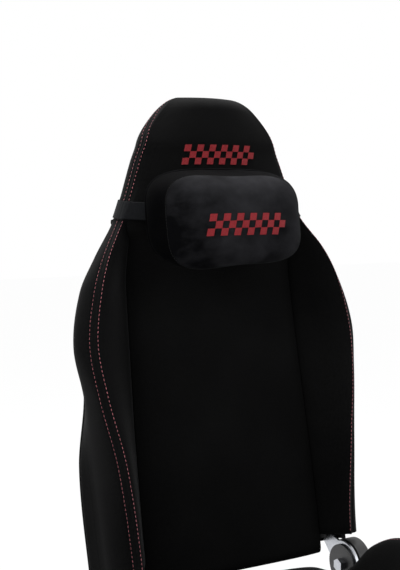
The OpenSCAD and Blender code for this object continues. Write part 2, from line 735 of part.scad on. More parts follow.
module cover_screws() {
    face = shroud_x + shroud_d;
    color(zinc_tint) for (side = [-1, 1], b = boss_yz) on_side(side) {
        rod_x(2, plate_x - 1, face + 0.1, b);
        rod_x(4, face + 0.1, face + 1.6, b);
    }
}

// ---------------------------------------------------------------- cushion frame

rail_x = bolt_span_x / 2;
upper_z = rail_h + 4;
flange_z = upper_z + 3;
flange_inner_x = rail_x - rail_w / 2 - 4.5;
plate_len = upper_rail_len - 10;
bolster_floor = cushion_base - 15;
handle_pivot = [-60, flange_z + 17];

// Edge of the side plate under the thigh bolster
plate_top = -bolster_floor - seam_gap;
module side_outline() {
    polygon([
        cushion_yz(40, plate_top), cushion_yz(cushion_len - 70, plate_top),
        cushion_yz(cushion_len - 85, plate_top - 50), [-plate_len / 2, flange_z],
        [plate_len / 2, flange_z], [rod_yz[0] + 16, rod_yz[1] - 20], [hip_y + 30, hip_z - 20],
        [hip_y, hip_z]
    ]);
    disc(36, [hip_y, hip_z]);
    disc(22, rod_yz);
}
rail_bolt_x = rail_x + rail_w / 2 - 6.5;
rail_bolt_ys = [-plate_len / 2 + 22, 0, plate_len / 2 - 22];
module side_plate(side) {
    color(steel_tint) on_side(side) difference() {
        union() {
            across(plate_x, plate_x + plate_t) side_outline();
            translate([flange_inner_x, -plate_len / 2, flange_z])
                cube([plate_x + plate_t - flange_inner_x, plate_len, plate_t]);
            translate([flange_inner_x, handle_pivot[0] - 14, flange_z]) cube([plate_t, 28, 28]);
        }
        rod_x(hip_bolt_r + run_gap / 2, plate_x - 1, plate_x + plate_t + 1, [hip_y, hip_z]);
        rod_x(bush_r + run_gap / 2, plate_x - 1, plate_x + plate_t + 1, rod_yz);
        for (b = boss_yz) rod_x(2 + run_gap, plate_x - 1, plate_x + plate_t + 1, b);
        rod_x(3 + run_gap, flange_inner_x - 1, flange_inner_x + plate_t + 1, handle_pivot);
        for (y = rail_bolt_ys)
            translate([rail_bolt_x, y, flange_z - 1]) cylinder(r = 3 + run_gap, h = plate_t + 2);
    }
}
module side_plate_left() { side_plate(1); }
module side_plate_right() { side_plate(-1); }

pan_top = -cushion_base - seam_gap;
module base_cross_tube(l, h) {
    color(steel_tint) difference() {
        rod_x(base_tube_r, -plate_x, plate_x, cushion_yz(l, h));
        rod_x(base_tube_r - tube_wall, -plate_x - 1, plate_x + 1, cushion_yz(l, h));
    }
}
tube_drop = pan_top - pan_t - base_tube_r - 0.1;
front_tube_l = cushion_len - 110;
rear_tube_l = 75;
module front_cross_tube() { base_cross_tube(front_tube_l, tube_drop); }
module rear_cross_tube() { base_cross_tube(rear_tube_l, tube_drop); }

module seat_pan() {
    front_l = cushion_len - 60;
    rear_l = rear_tube_l - 30;
    flange_l = [rear_tube_l + base_tube_r + 12, front_tube_l - base_tube_r - 12];
    color(steel_tint) on_cushion() {
        translate([-plate_x, -front_l, pan_top - pan_t]) cube([2 * plate_x, front_l - rear_l, pan_t]);
        for (x = [-plate_x, plate_x - pan_t]) translate([x, -flange_l[1], pan_top - pan_t - 10])
            cube([pan_t, flange_l[1] - flange_l[0], 10 + eps]);
    }
}

module rail_bolts() {
    color(zinc_tint) for (side = [-1, 1], y = rail_bolt_ys) on_side(side) translate([rail_bolt_x, y, 0]) {
        translate([0, 0, upper_z - 3]) cylinder(r = 3, h = plate_t + 6);
        translate([0, 0, flange_z + plate_t]) cylinder(r = 5, h = 4, $fn = 6);
        translate([0, 0, upper_z - 3]) cylinder(r = 5, h = 3, $fn = 6);
    }
}
module handle_pins() {
    color(zinc_tint) for (side = [-1, 1]) on_side(side) {
        rod_x(3, flange_inner_x - 14, flange_inner_x + plate_t + 3, handle_pivot);
        rod_x(5, flange_inner_x + plate_t + 0.1, flange_inner_x + plate_t + 3, handle_pivot);
    }
}

// ---------------------------------------------------------------- cushion soft parts

face_h_stations = [
    [-cushion_tail, cushion_top - 6], [200, cushion_top], [cushion_len - nose_r, cushion_top + 10]
];
// Fall of the cushion's front nose
function nose_drop(l) =
    let (t = min(max((l - cushion_len + nose_r) / nose_r, 0), 1))
    (cushion_top + 4) * (1 - sqrt(max(1 - t ^ 2, 0)));
nose_rows = [for (a = [12, 28, 44, 60, 76, 90]) cushion_len - nose_r + nose_r * sin(a)];
module centre_cushion() {
    color(fabric_tint) on_cushion() skin([
        for (l = concat([-cushion_tail, 6 - cushion_tail], rows(20, cushion_len - nose_r, 9), nose_rows))
            let (top = curve(face_h_stations, l) - nose_drop(l), tail = l < 0 ? -l / 3 : 0)
            let (face = [for (i = [0:face_steps]) let (f = sin(90 * i / face_steps)) [
                f * (cushion_half - seam_gap / 2),
                top - tail - 9 * f ^ 10 + cushion_crown * (1 - f ^ 2) * (tail > 0 ? 0.5 : 1)
            ]])
            let (edge = cushion_half - seam_gap / 2)
            reversed(cushion_ring(concat(whole(face), [[edge, -cushion_base], [-edge, -cushion_base]]), l))
    ]);
}

bolster_stations = [
    [bolster_tail, cushion_top + 1], [bolster_tail + 14, bolster_top * 0.4],
    [bolster_tail + 36, bolster_top * 0.68], [bolster_tail + 90, bolster_top * 0.94],
    [290, bolster_top], [cushion_len - 85, bolster_top * 0.9], [cushion_len - 25, bolster_top * 0.62],
    [cushion_len, bolster_top * 0.16]
];
bolster_half_stations = [
    [bolster_tail, bolster_half - 20], [200, bolster_half - 10], [330, bolster_half],
    [cushion_len - 60, bolster_half - 4], [cushion_len, bolster_half - 22]
];
module thigh_bolster(side) {
    step_u = plate_x - pass_gap;
    color(fabric_tint) on_cushion() on_side(side) skin([
        for (l = concat(rows(bolster_tail, bolster_tail + 42, 4),
                        rows(bolster_tail + 70, cushion_len - nose_r, 9), nose_rows))
            let (edge = cushion_half + seam_gap / 2, out = curve(bolster_half_stations, l))
            let (low = curve(face_h_stations, l) - 9 - nose_drop(l), top = curve(bolster_stations, l))
            let (crest = max(top, low + 2), tip = edge + (out - edge) * 0.68)
            let (slope = [for (f = [0, 0.2, 0.4, 0.6, 0.8, 1])
                [edge + (tip - edge) * f, low + (crest - low) * (1 - (1 - f) ^ 2.2)]])
            let (belly = (crest - bolster_floor) / 2)
            let (flank = [for (a = [25, 50, 75, 90])
                [tip + (out - tip) * sin(a), crest - (crest - belly) * (1 - cos(a))]])
            reversed(cushion_ring(concat(slope, flank, [
                [out - 3, (belly - bolster_floor) / 2], [out - 8, -bolster_floor],
                [step_u, -bolster_floor], [step_u, -cushion_base], [edge, -cushion_base]
            ]), l))
    ]);
}
module thigh_bolster_left() { thigh_bolster(1); }
module thigh_bolster_right() { thigh_bolster(-1); }

// ---------------------------------------------------------------- floor slides

slot_half = rail_w / 2 - 11;
foot_z = 8;
foot_half = rail_w / 2 - rail_t - 2 * ball_r - 0.2;
notch_plate = [rail_x - rail_w / 2 - 14, rail_x - rail_w / 2 + 0.5];
notch_z = 14;
latch_ys = [for (i = [1:3]) handle_pivot[0] - 4 - i * notch_pitch];

module rail_profile() {
    difference() {
        translate([-rail_w / 2, 0]) square([rail_w, rail_h]);
        translate([-rail_w / 2 + rail_t, rail_t]) square([rail_w - 2 * rail_t, rail_h - 2 * rail_t]);
        translate([-slot_half, rail_t]) square([2 * slot_half, rail_h]);
    }
}
module along(length) {
    translate([0, length / 2, 0]) rotate([90, 0, 0]) linear_extrude(length) children();
}
module floor_rail(side) {
    first = latch_ys[2] - slide_travel - notch_pitch;
    steps = floor((latch_ys[0] - latch_ys[2] + 2 * slide_travel) / notch_pitch) + 2;
    color(zinc_tint) on_side(side) difference() {
        union() {
            translate([rail_x, 0, 0]) along(floor_rail_len) rail_profile();
            translate([notch_plate[0], first - 4, notch_z])
                cube([notch_plate[1] - notch_plate[0], steps * notch_pitch + 8, 3]);
        }
        for (y = [-bolt_span_y / 2, bolt_span_y / 2])
            translate([rail_x, y, -1]) cylinder(r = bolt_hole_r, h = rail_t + 2);
        for (i = [0:steps - 1])
            translate([notch_plate[0] - 1, first + i * notch_pitch + 3, notch_z - 1])
                cube([9, notch_pitch / 2, 5]);
    }
}
module floor_rail_left() { floor_rail(1); }
module floor_rail_right() { floor_rail(-1); }

module upper_rail(side) {
    web = slot_half - 2.5;
    color(zinc_tint) on_side(side) difference() {
        translate([rail_x, 0, 0]) along(upper_rail_len) difference() {
            union() {
                translate([-foot_half, foot_z]) square([2 * foot_half, 4]);
                translate([-web, foot_z]) square([2 * web, upper_z + 3 - foot_z]);
                translate([-rail_w / 2 + 1, upper_z]) square([rail_w - 2, 3]);
            }
            translate([-web + 2, foot_z + 3]) square([2 * web - 4, upper_z - foot_z - 3]);
        }
        for (y = rail_bolt_ys)
            translate([rail_bolt_x, y, upper_z - 1]) cylinder(r = 3 + run_gap, h = 5);
    }
}
module upper_rail_left() { upper_rail(1); }
module upper_rail_right() { upper_rail(-1); }

ball_x = rail_w / 2 - rail_t - ball_r - 0.1;
ball_z = foot_z + 2;
ball_pitch = 36;
ball_ys = [for (i = [0:balls_per_row - 1]) (i - (balls_per_row - 1) / 2) * ball_pitch];
module ball_cage(side) {
    half = ball_x + 0.8;
    color(plastic_tint) on_side(side) difference() {
        translate([rail_x, 0, 0]) along(ball_pitch * balls_per_row + 20) difference() {
            translate([-half, rail_t + 1.3]) square([2 * half, ball_z + 1]);
            translate([-half + 1.6, rail_t + 2.8]) square([2 * half - 3.2, ball_z + 4]);
        }
        for (y = ball_ys) rod_x(ball_r + run_gap, rail_x - half - 1, rail_x + half + 1, [y, ball_z]);
    }
}
module ball_cage_left() { ball_cage(1); }
module ball_cage_right() { ball_cage(-1); }
module slide_balls() {
    color(zinc_tint) for (side = [-1, 1], row = [-1, 1], y = ball_ys)
        on_side(side) translate([rail_x + row * ball_x, y, ball_z]) sphere(ball_r);
}

// ---------------------------------------------------------------- slide handle

handle_arm_x = flange_inner_x - pass_gap - handle_r;
handle_front = [-handle_reach, handle_pivot[1] + 10];
handle_bend = [-handle_reach + 34, handle_pivot[1] + 3];
handle_half = handle_arm_x - arm_t / 2;
latch_foot_z = notch_z + 3 + tooth_gap;
module handle_arm(side) {
    x0 = handle_half;
    x1 = handle_half + arm_t;
    block_z = latch_foot_z + 8;
    color(steel_tint) on_side(side) difference() {
        union() {
            across(x0, x1) polygon(concat(
                [
                    handle_pivot + [0, handle_r], handle_bend + [0, handle_r],
                    handle_front + [0, handle_r], handle_front - [0, handle_r],
                    handle_bend - [0, handle_r], [latch_ys[2] - 4, handle_pivot[1] - handle_r],
                    [latch_ys[2] - 4, block_z]
                ],
                [for (i = [2:-1:0], c = [[-2, block_z], [-2, latch_foot_z], [2, latch_foot_z], [2, block_z]])
                    [latch_ys[i] + c[0], c[1]]],
                [
                    [latch_ys[0] + 4, block_z], [latch_ys[0] + 4, handle_pivot[1] - handle_r],
                    handle_pivot - [0, handle_r]
                ]
            ));
            rod_x(handle_r + 3, x0 - 3, x1 + 3, handle_pivot);
            rod_x(handle_r + 3, x0, x1, handle_front);
        }
        rod_x(3 + run_gap, x0 - 4, x1 + 4, handle_pivot);
    }
}
module handle_arm_left() { handle_arm(1); }
module handle_arm_right() { handle_arm(-1); }
module handle_bar() {
    color(steel_tint) rod_x(handle_r, -handle_half, handle_half, handle_front);
}
module handle_sleeve() {
    half = handle_half - 22;
    color(plastic_tint) difference() {
        rod_x(handle_r + 3, -half, half, handle_front);
        rod_x(handle_r + run_gap, -half - 1, half + 1, handle_front);
    }
}

floor_rail_left();
floor_rail_right();
ball_cage_left();
ball_cage_right();
slide_balls();
upper_rail_left();
upper_rail_right();
side_plate_left();
side_plate_right();
front_cross_tube();
rear_cross_tube();
seat_pan();
centre_cushion();
thigh_bolster_left();
thigh_bolster_right();
recliner_cover_left();
recliner_cover_right();
cover_screws();
hip_bolts();
rod_bushes();
rail_bolts();
handle_pins();
release_rod();
pawl_left();
pawl_right();
release_lever();
lever_grip();
handle_arm_left();
handle_arm_right();
handle_bar();
handle_sleeve();
back_tube_left();
back_tube_right();
head_cross_tube();
shoulder_cross_tube();
lumbar_cross_tube();
hip_cross_tube();
recliner_arm_left();
recliner_arm_right();
back_webs();
back_centre_pad();
back_wing_left();
back_wing_right();
head_pad();
rear_cover();
rear_zip();
head_pillow();
pillow_strap();
strap_slider();
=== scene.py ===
# %% [markdown]
# # A reclining racing seat, dressed in cloth
#
# The seat is a steel frame with moulded foam over it, and black woven cloth sewn round the foam.
# A band with two rows of crimson top-stitching runs round the outside of the backrest, and a
# plush pillow is strapped to its neck. The frame, its hinges and slides come ready made: here
# every soft piece is modelled again with its seams, and every surface gets its finish.
#
# All lengths in this file are millimetres until a mesh is made, because the seat was drawn in
# millimetres. Blender's own unit is the metre, so a helper divides by 1000 at the last moment.

# %% The frame
import json
import random
from contextlib import contextmanager
from math import copysign, cos, pi, radians, sin, sqrt

import bpy
from mathutils import Matrix, Vector
from mathutils.bvhtree import BVHTree
from mathutils.kdtree import KDTree


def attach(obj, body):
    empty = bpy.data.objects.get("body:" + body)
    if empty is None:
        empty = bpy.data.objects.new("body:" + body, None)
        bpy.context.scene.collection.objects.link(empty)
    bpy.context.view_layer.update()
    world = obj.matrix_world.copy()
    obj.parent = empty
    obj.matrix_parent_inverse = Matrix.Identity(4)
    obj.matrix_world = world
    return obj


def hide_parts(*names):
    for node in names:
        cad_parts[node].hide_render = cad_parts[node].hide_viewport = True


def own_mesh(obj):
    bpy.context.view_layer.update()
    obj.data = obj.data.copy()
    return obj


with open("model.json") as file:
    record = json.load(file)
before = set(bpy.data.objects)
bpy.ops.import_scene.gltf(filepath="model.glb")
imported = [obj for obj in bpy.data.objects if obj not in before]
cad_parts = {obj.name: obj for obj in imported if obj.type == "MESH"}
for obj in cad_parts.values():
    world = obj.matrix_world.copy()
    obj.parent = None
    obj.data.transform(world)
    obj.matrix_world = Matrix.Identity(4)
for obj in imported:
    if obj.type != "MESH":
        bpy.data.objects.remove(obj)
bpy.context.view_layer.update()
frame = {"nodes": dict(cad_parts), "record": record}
scene = bpy.context.scene
bpy.ops.object.select_all(action="DESELECT")
print("nodes of the frame:", len(frame["nodes"]))

# %% [markdown]
# ## Camera
#
# The camera stands two metres away, thirty degrees round to the side and a little above the
# shoulders. It is given a place and a direction to look along, and its lens sets how large
# the seat is seen. The view is taller than it is wide, so the sensor is fitted to the tall side.

# %% Camera
def aimed(name, data, place, look):
    """A camera or lamp at a place, turned to look along a direction."""
    made = bpy.data.objects.new(name, data)
    scene.collection.objects.link(made)
    made.location = place
    made.rotation_euler = look.to_track_quat("-Z", "Y").to_euler()
    return made


camera_data = bpy.data.cameras.new("camera")
camera_data.sensor_width = 36.0
camera_data.lens = 70.2
turn, dip = radians(30), radians(5.14)
look = Vector((sin(turn) * cos(dip), cos(turn) * cos(dip), -sin(dip)))
scene.camera = aimed("camera", camera_data, (-0.99098, -1.38124, 0.83518), look)
print("camera aims along", [round(c, 3) for c in look])

# %% [markdown]
# ## Shader maths
#
# A finish is a small network of nodes. Written out by hand that is many lines, so a class wraps
# one socket and lets it be added, subtracted and multiplied as a number is. Numbers go through
# Math nodes; colours have their own Mix node, because a Math node would turn them grey.

# %% Wire
class Wire:
    """One output socket that can be used in Python sums."""

    def __init__(self, finish, socket):
        self.finish, self.socket = finish, socket

    def math(self, operation, *values):
        return self.finish.node("ShaderNodeMath", {"operation": operation}, [self, *values])

    def __add__(self, other):
        return self.math("ADD", other)

    def __sub__(self, other):
        return self.math("SUBTRACT", other)

    def __rsub__(self, other):
        return self.finish.node("ShaderNodeMath", {"operation": "SUBTRACT"}, [other, self])

    def __mul__(self, other):
        return self.math("MULTIPLY", other)

    def __abs__(self):
        return self.math("ABSOLUTE")

    __radd__, __rmul__ = __add__, __mul__

    def sin(self):
        return self.math("SINE")

    def clamp(self):
        return self.finish.node("ShaderNodeClamp", {}, [self, 0.0, 1.0])

    def step(self, low, high):
        """0 below low, 1 above high, smooth between."""
        return self.finish.node("ShaderNodeMapRange", {"interpolation_type": "SMOOTHSTEP"},
                                [self, low, high, 0.0, 1.0])


print("reflected sums:", [name for name in vars(Wire) if name.startswith("__r")])

# %% Colour
def from_srgb(r, g, b):
    """Linear colour of an sRGB one given in 0..255."""
    flat = [c / 255 / 12.92 if c <= 10 else ((c / 255 + 0.055) / 1.055) ** 2.4 for c in (r, g, b)]
    return (*flat, 1.0)


print("middle grey is", round(from_srgb(128, 128, 128)[0], 3), "in linear light")

# %% Finish
class Finish:
    """A material built up node by node around one Principled shader."""

    def __init__(self, name):
        self.material = bpy.data.materials.new(name)
        self.material.use_nodes = True
        self.tree = self.material.node_tree
        self.shader = self.tree.nodes["Principled BSDF"]

    def feed(self, socket, value):
        """Links a wire to a socket, or sets the socket to a plain value."""
        if isinstance(value, Wire):
            self.tree.links.new(value.socket, socket)
        else:
            socket.default_value = value

    def node(self, kind, settings, values, output=0):
        made = self.tree.nodes.new(kind)
        for key, value in settings.items():
            setattr(made, key, value)
        sockets = [s for s in made.inputs if s.enabled]
        for key, value in values.items() if isinstance(values, dict) else enumerate(values):
            self.feed(made.inputs[key] if isinstance(key, str) else sockets[key], value)
        return Wire(self, made.outputs[output])

    def place(self):
        return self.node("ShaderNodeTexCoord", {}, [], "Object")

    def cloth_uv(self):
        return self.node("ShaderNodeUVMap", {"uv_map": "cloth"}, [])

    def axis(self, vector, letter):
        return self.node("ShaderNodeSeparateXYZ", {}, [vector], "XYZ".index(letter))

    def attribute(self, name):
        return self.node("ShaderNodeAttribute", {"attribute_name": name}, [], "Fac")

    def noise(self, vector, scale, detail=2.0, rough=0.5):
        return self.node("ShaderNodeTexNoise", {}, {
            "Vector": vector, "Scale": scale, "Detail": detail, "Roughness": rough})

    def stretched(self, vector, scale):
        return self.node("ShaderNodeMapping", {}, {"Vector": vector, "Scale": scale})

    def mix(self, factor, a, b):
        made = self.tree.nodes.new("ShaderNodeMix")
        made.data_type = "RGBA"
        for key, value in (("Factor_Float", factor), ("A_Color", a), ("B_Color", b)):
            self.feed(next(s for s in made.inputs if s.identifier == key), value)
        return Wire(self, next(s for s in made.outputs if s.identifier == "Result_Color"))

    def tint(self, factor, dark, light):
        """Between two sRGB colours."""
        return self.mix(factor, from_srgb(*dark), from_srgb(*light))

    def bump(self, height, depth, strength=1.0, **more):
        """Normals of a height that runs 0..1, with its depth in metres."""
        return self.node("ShaderNodeBump", {}, {
            "Strength": strength, "Distance": depth, "Height": height, **more})

    def finish(self, **inputs):
        """Sets the shader's inputs, named with underscores for spaces."""
        for key, value in inputs.items():
            self.feed(self.shader.inputs[key.replace("_", " ")], value)
        return self.material


print("shader helpers ready")

# %% [markdown]
# ## Black woven cloth
#
# The seat's cover is a plain weave of dark yarn, about one thread per millimetre. A UV map in
# metres lies along each panel, so the threads follow the cloth round every curve. Warp and weft
# are two sine waves taken out of step, and a little noise makes the yarn uneven; the hollows of
# the weave are painted a little darker, as painted shade. Two numbers are stored on the mesh.
# `seam` tells how far each point is from its sewn line, and from it the shader bumps the
# pressed-in crease and paints shade into it. The valley weight is 1 in the seams beside the
# centre panel and fades to 0 away from them, and the shader paints shade on the cloth where it
# dives in there.

# %% Seat cloth
SEAM_FAR = 40.0
BAND = 15
ROW = BAND / 2


def woven_cloth(name, dark, light, pitch, depth, sheen):
    cloth = Finish(name)
    uv = cloth.cloth_uv()
    u, v = cloth.axis(uv, "X"), cloth.axis(uv, "Y")
    wobble = (cloth.noise(uv, 220.0, 2.0) - 0.5) * 0.9
    turns = 2 * pi / pitch
    warp = ((u * turns + wobble).sin() * (v * (turns / 2)).sin()) * 0.5 + 0.5
    weft = ((v * turns + wobble).sin() * (u * (turns / 2)).sin()) * 0.5 + 0.5
    weave = (warp + weft) * 0.5
    fuzz = cloth.noise(uv, 900.0, 3.0, 0.7)
    broad = cloth.noise(cloth.place(), 7.0, 3.0)
    seam = abs(cloth.attribute("seam"))
    fold = 1.0 - seam.step(0.0, 1.1)
    valley_shade = cloth.attribute("valley_shade")
    pressed = 1.0 - abs(seam - ROW).step(0.0, 2.2)
    slub = cloth.noise(uv, 230.0, 3.0, 0.65)
    # painted shade: the weave term darkens the hollows between threads; slub, fuzz and broad noise
    # are the yarn's own uneven tone and wear
    wear_and_weave_shade = ((broad - 0.5) * 0.9 + (slub - 0.5) * 1.1 + (fuzz - 0.5) * 0.5 + (weave - 0.5) * 0.5
            + 0.37)
    colour = cloth.tint(wear_and_weave_shade.clamp(), dark, light)
    # painted shade: darker in the fold, along the two pressed rows and down in the valley beside
    # the centre panel
    colour = cloth.mix((fold * 0.3 + pressed * 0.25 + valley_shade * 0.6).clamp(), colour,
                       from_srgb(*[c * 0.4 for c in dark]))
    height = weave * 0.55 + fuzz * 0.45
    fine = cloth.bump(height, depth, 0.7)
    sewn = cloth.bump(1.0 - fold * 0.5 - pressed * 0.7, 0.0010, 0.8, Normal=fine)
    return cloth.finish(Base_Color=colour, Roughness=0.86 + (fuzz - 0.5) * 0.12, Normal=sewn,
                        Sheen_Weight=sheen, Sheen_Roughness=0.35, Specular_IOR_Level=0.04)


seat_cloth = woven_cloth("seat_cloth", (3, 3, 3), (16, 16, 16), 0.0013, 0.00035, 0.035)
print("made", seat_cloth.name)

# %% [markdown]
# ## Plush velvet
#
# The pillow's plush has a nap that lies over in patches, and the colour paints how they take the
# light: grey where the nap leans towards it, nearly black where it leans away. Stretched noise,
# bent by a second noise, gives those brushed patches, and a fine noise gives the pile its grain.
# The colour is also painted lighter towards the top, where light from above falls, and it darkens
# towards the left. The sides behind the front seam get a painted shaded copy, much darker: the
# sign of the seam distance tells the two apart. Painted shade also darkens the seam's crease.

# %% Velvet
def plush_velvet(name, dark, light):
    plush = Finish(name)
    place = plush.place()
    sway = plush.noise(place, 5.0, 2.0)
    up = (plush.axis(place, "Z") - 0.77) * 5.5
    bent = plush.node("ShaderNodeVectorMath", {"operation": "ADD"}, [
        plush.stretched(place, (1.0, 1.0, 1.6)),
        plush.node("ShaderNodeVectorMath", {"operation": "SCALE"}, {
            "Vector": plush.node("ShaderNodeTexNoise", {}, {
                "Vector": place, "Scale": 9.0, "Detail": 2.0}, "Color"), "Scale": 0.06})])
    patch = plush.noise(bent, 13.0, 4.0, 0.6)
    pile = plush.noise(place, 1400.0, 2.0, 0.6)
    left = plush.axis(place, "X").math("MINIMUM", 0.02) * 3.2
    # painted light: the up term makes the plush lighter towards the top, where light from above
    # falls; the left term darkens it towards the left
    nap_and_light = ((patch - 0.5) * 2.2 + (sway - 0.5) * 1.0 + (pile - 0.5) * 0.35 + up * 0.45
            + left + 0.48)
    seam = plush.attribute("seam")
    crease = 1.0 - abs(seam).step(0.0, 2.0)
    # painted shade: the sides behind the front seam take a darker copy of the colour, and the
    # seam's crease is darkened
    shade, ground = [[c * k for c in dark] for k in (0.3, 0.8)]
    colour = plush.mix(seam.step(-2.0, 1.0), plush.tint(nap_and_light.clamp(), shade, ground),
                       plush.tint(nap_and_light.clamp(), dark, light))
    colour = plush.mix(crease * 0.7, colour, from_srgb(*shade))
    nap = plush.bump(pile * 0.4 + patch * 0.6, 0.0022, 0.75)
    sewn = plush.bump(1.0 - crease, 0.0012, 0.7, Normal=nap)
    return plush.finish(Base_Color=colour, Roughness=0.8 + (patch - 0.5) * 0.3, Normal=sewn,
                        Sheen_Weight=0.005, Sheen_Roughness=0.35, Specular_IOR_Level=0.015)


pillow_velvet = plush_velvet("pillow_velvet", (5, 5, 6), (37, 37, 39))
print("made", pillow_velvet.name)

# %% [markdown]
# ## Thread, elastic and webbing
#
# Thread is two plies twisted together, so it shows slanting ridges. The strap is knitted
# elastic with fine ribs along it. Both ribs are one sine wave of the piece's own UV map, and the
# colour follows them: crests painted lighter and grooves darker, as painted highlight and shade.

# %% Thread
def twisted_thread(name, dark, light, ply):
    thread = Finish(name)
    uv = thread.cloth_uv()
    twist = (thread.axis(uv, "X") + thread.axis(uv, "Y")) * (2 * pi / ply)
    ridge = twist.sin() * 0.5 + 0.5
    lint = thread.noise(thread.place(), 500.0, 2.0)
    # painted highlight and shade: lighter on the ridges of the twist, darker in its grooves
    shade = (ridge * 0.6 + lint * 0.5).clamp()
    return thread.finish(
        Base_Color=thread.tint(shade, dark, light), Roughness=0.6 + (lint - 0.5) * 0.2,
        Normal=thread.bump(ridge, 0.00025, 0.8), Sheen_Weight=0.05, Specular_IOR_Level=0.15)


crimson_thread = twisted_thread("crimson_thread", (112, 50, 58), (196, 126, 132), 0.0012)
satin_thread = twisted_thread("satin_thread", (92, 14, 20), (148, 34, 40), 0.0009)
black_thread = twisted_thread("black_thread", (8, 8, 8), (24, 24, 25), 0.0012)
print("made", crimson_thread.name, satin_thread.name, black_thread.name)

# %% Elastic
def ribbed_webbing(name, dark, light, rib, specular):
    web = Finish(name)
    uv = web.cloth_uv()
    ribs = (web.axis(uv, "X") * (2 * pi / rib)).sin() * 0.5 + 0.5
    picks = (web.axis(uv, "Y") * (2 * pi / (rib * 1.4))).sin() * 0.5 + 0.5
    lint = web.noise(web.place(), 260.0, 3.0, 0.65)
    # painted shade: darker in the grooves between ribs and picks, with random lint
    shade = (ribs * 0.25 + picks * 0.2 + lint * 0.7 - 0.1).clamp()
    return web.finish(
        Base_Color=web.tint(shade, dark, light), Roughness=0.62 + (lint - 0.5) * 0.3,
        Normal=web.bump(ribs * 0.6 + picks * 0.4, 0.0004, 0.7),
        Sheen_Weight=0.03, Specular_IOR_Level=specular)


strap_elastic = ribbed_webbing("strap_elastic", (6, 7, 8), (18, 19, 21), 0.0018, 0.03)
zip_tape = ribbed_webbing("zip_tape", (9, 9, 10), (24, 24, 25), 0.0014, 0.06)
print("made", strap_elastic.name, zip_tape.name)

# %% [markdown]
# ## Hard finishes
#
# The frame is powder coated: a satin black with a faint orange peel, rubbed a little paler where
# broad noise says that hands and shoes reach. Bright parts are zinc plated, with the soft cloudy
# spangle of plating. Covers are moulded plastic with a fine spark-eroded grain, and the handles
# have foam sleeves full of small pores.

# %% Metal and plastic
def powder_coat(name, dark, light):
    coat = Finish(name)
    place = coat.place()
    peel = coat.noise(place, 620.0, 2.0)
    rub = coat.noise(place, 16.0, 4.0, 0.65).step(0.54, 0.78)
    speck = coat.noise(place, 240.0, 3.0).step(0.62, 0.75)
    colour = coat.tint(rub * 0.55 + speck * 0.12, dark, light)
    return coat.finish(Base_Color=colour, Roughness=0.42 + (peel - 0.5) * 0.25 + rub * 0.12,
                       Normal=coat.bump(peel, 0.00022, 0.6))


def zinc_plate(name, dark, light):
    plate = Finish(name)
    place = plate.place()
    cloud = plate.noise(place, 60.0, 5.0, 0.7)
    brush = plate.noise(plate.stretched(place, (40.0, 900.0, 900.0)), 1.0, 2.0)
    stain = plate.noise(place, 22.0, 4.0, 0.7).step(0.58, 0.8)
    colour = plate.tint(cloud, dark, light)
    colour = plate.mix(stain * 0.45, colour, from_srgb(120, 112, 98))
    return plate.finish(Base_Color=colour, Metallic=1.0 - stain * 0.3,
                        Roughness=0.3 + (cloud - 0.5) * 0.25 + stain * 0.2,
                        Normal=plate.bump(brush, 0.00008, 0.5))


def grained_plastic(name, dark, light, grain, depth, specular=0.5):
    plastic = Finish(name)
    place = plastic.place()
    pebble = plastic.node("ShaderNodeTexVoronoi", {"feature": "SMOOTH_F1"}, {
        "Vector": place, "Scale": grain})
    scratches = plastic.stretched(place, (1.0, 6.0, 2.0))
    scuff = plastic.noise(scratches, 30.0, 5.0, 0.7).step(0.58, 0.76)
    dust = plastic.noise(place, 11.0, 3.0)
    colour = plastic.tint((scuff * 0.3 + dust * 0.3).clamp(), dark, light)
    return plastic.finish(Base_Color=colour, Roughness=0.5 + scuff * 0.15 + (dust - 0.5) * 0.1,
                          Normal=plastic.bump(pebble, depth, 0.7), Specular_IOR_Level=specular)


black_steel = powder_coat("black_steel", (20, 20, 21), (62, 61, 60))
zinc_steel = zinc_plate("zinc_steel", (138, 140, 146), (198, 200, 204))
black_plastic = grained_plastic("black_plastic", (20, 20, 21), (52, 52, 53), 900.0, 0.0002)
grip_foam = grained_plastic("grip_foam", (15, 15, 16), (44, 44, 44), 420.0, 0.0006, 0.2)
print("made steel, zinc, plastic and foam")

# %% [markdown]
# Every node that stays as it came from the frame gets the finish of its material slot.

# %% Finishes of the frame
SLOT_FINISH = {
    "seat_fabric": seat_cloth, "pillow_velvet": pillow_velvet, "strap_elastic": strap_elastic,
    "black_plastic": black_plastic, "grip_foam": grip_foam, "black_steel": black_steel,
    "zinc_steel": zinc_steel,
}
slot_of = {p["node"]: p["material_slot"] for p in frame["record"]["subparts"]}
for name, node in frame["nodes"].items():
    node.data.materials.clear()
    node.data.materials.append(SLOT_FINISH[slot_of[name]])
print("finished", len(frame["nodes"]), "frame nodes")

# %% [markdown]
# ## Two slanted drawing boards
#
# The backrest leans back eleven degrees and the cushion is tipped up seven. It is easier to draw
# them upright, so the backrest has its own axes: u across, v up and w forward from its face, all
# from the hip pivot. The cushion's are u across, l forward and h up.

# %% Places on the seat
HIP = Vector((0.0, 190.0, 150.0))
LEAN, TIP = radians(11), radians(7)


def on_back(u, v, w):
    """Place in metres of a point drawn on the backrest's board, in millimetres."""
    return Vector((u, HIP.y + v * sin(LEAN) - w * cos(LEAN),
                   HIP.z + v * cos(LEAN) + w * sin(LEAN))) / 1000


def on_cushion(u, l, h):
    """Place in metres of a point drawn on the cushion's board, in millimetres."""
    return Vector((u, HIP.y - l * cos(TIP) + h * sin(TIP),
                   HIP.z + l * sin(TIP) + h * cos(TIP))) / 1000


def on_board(place):
    """How high up the backrest's board and how far forward of it a place is, in millimetres."""
    y, z = place.y * 1000 - HIP.y, place.z * 1000 - HIP.z
    return y * sin(LEAN) + z * cos(LEAN), -y * cos(LEAN) + z * sin(LEAN)


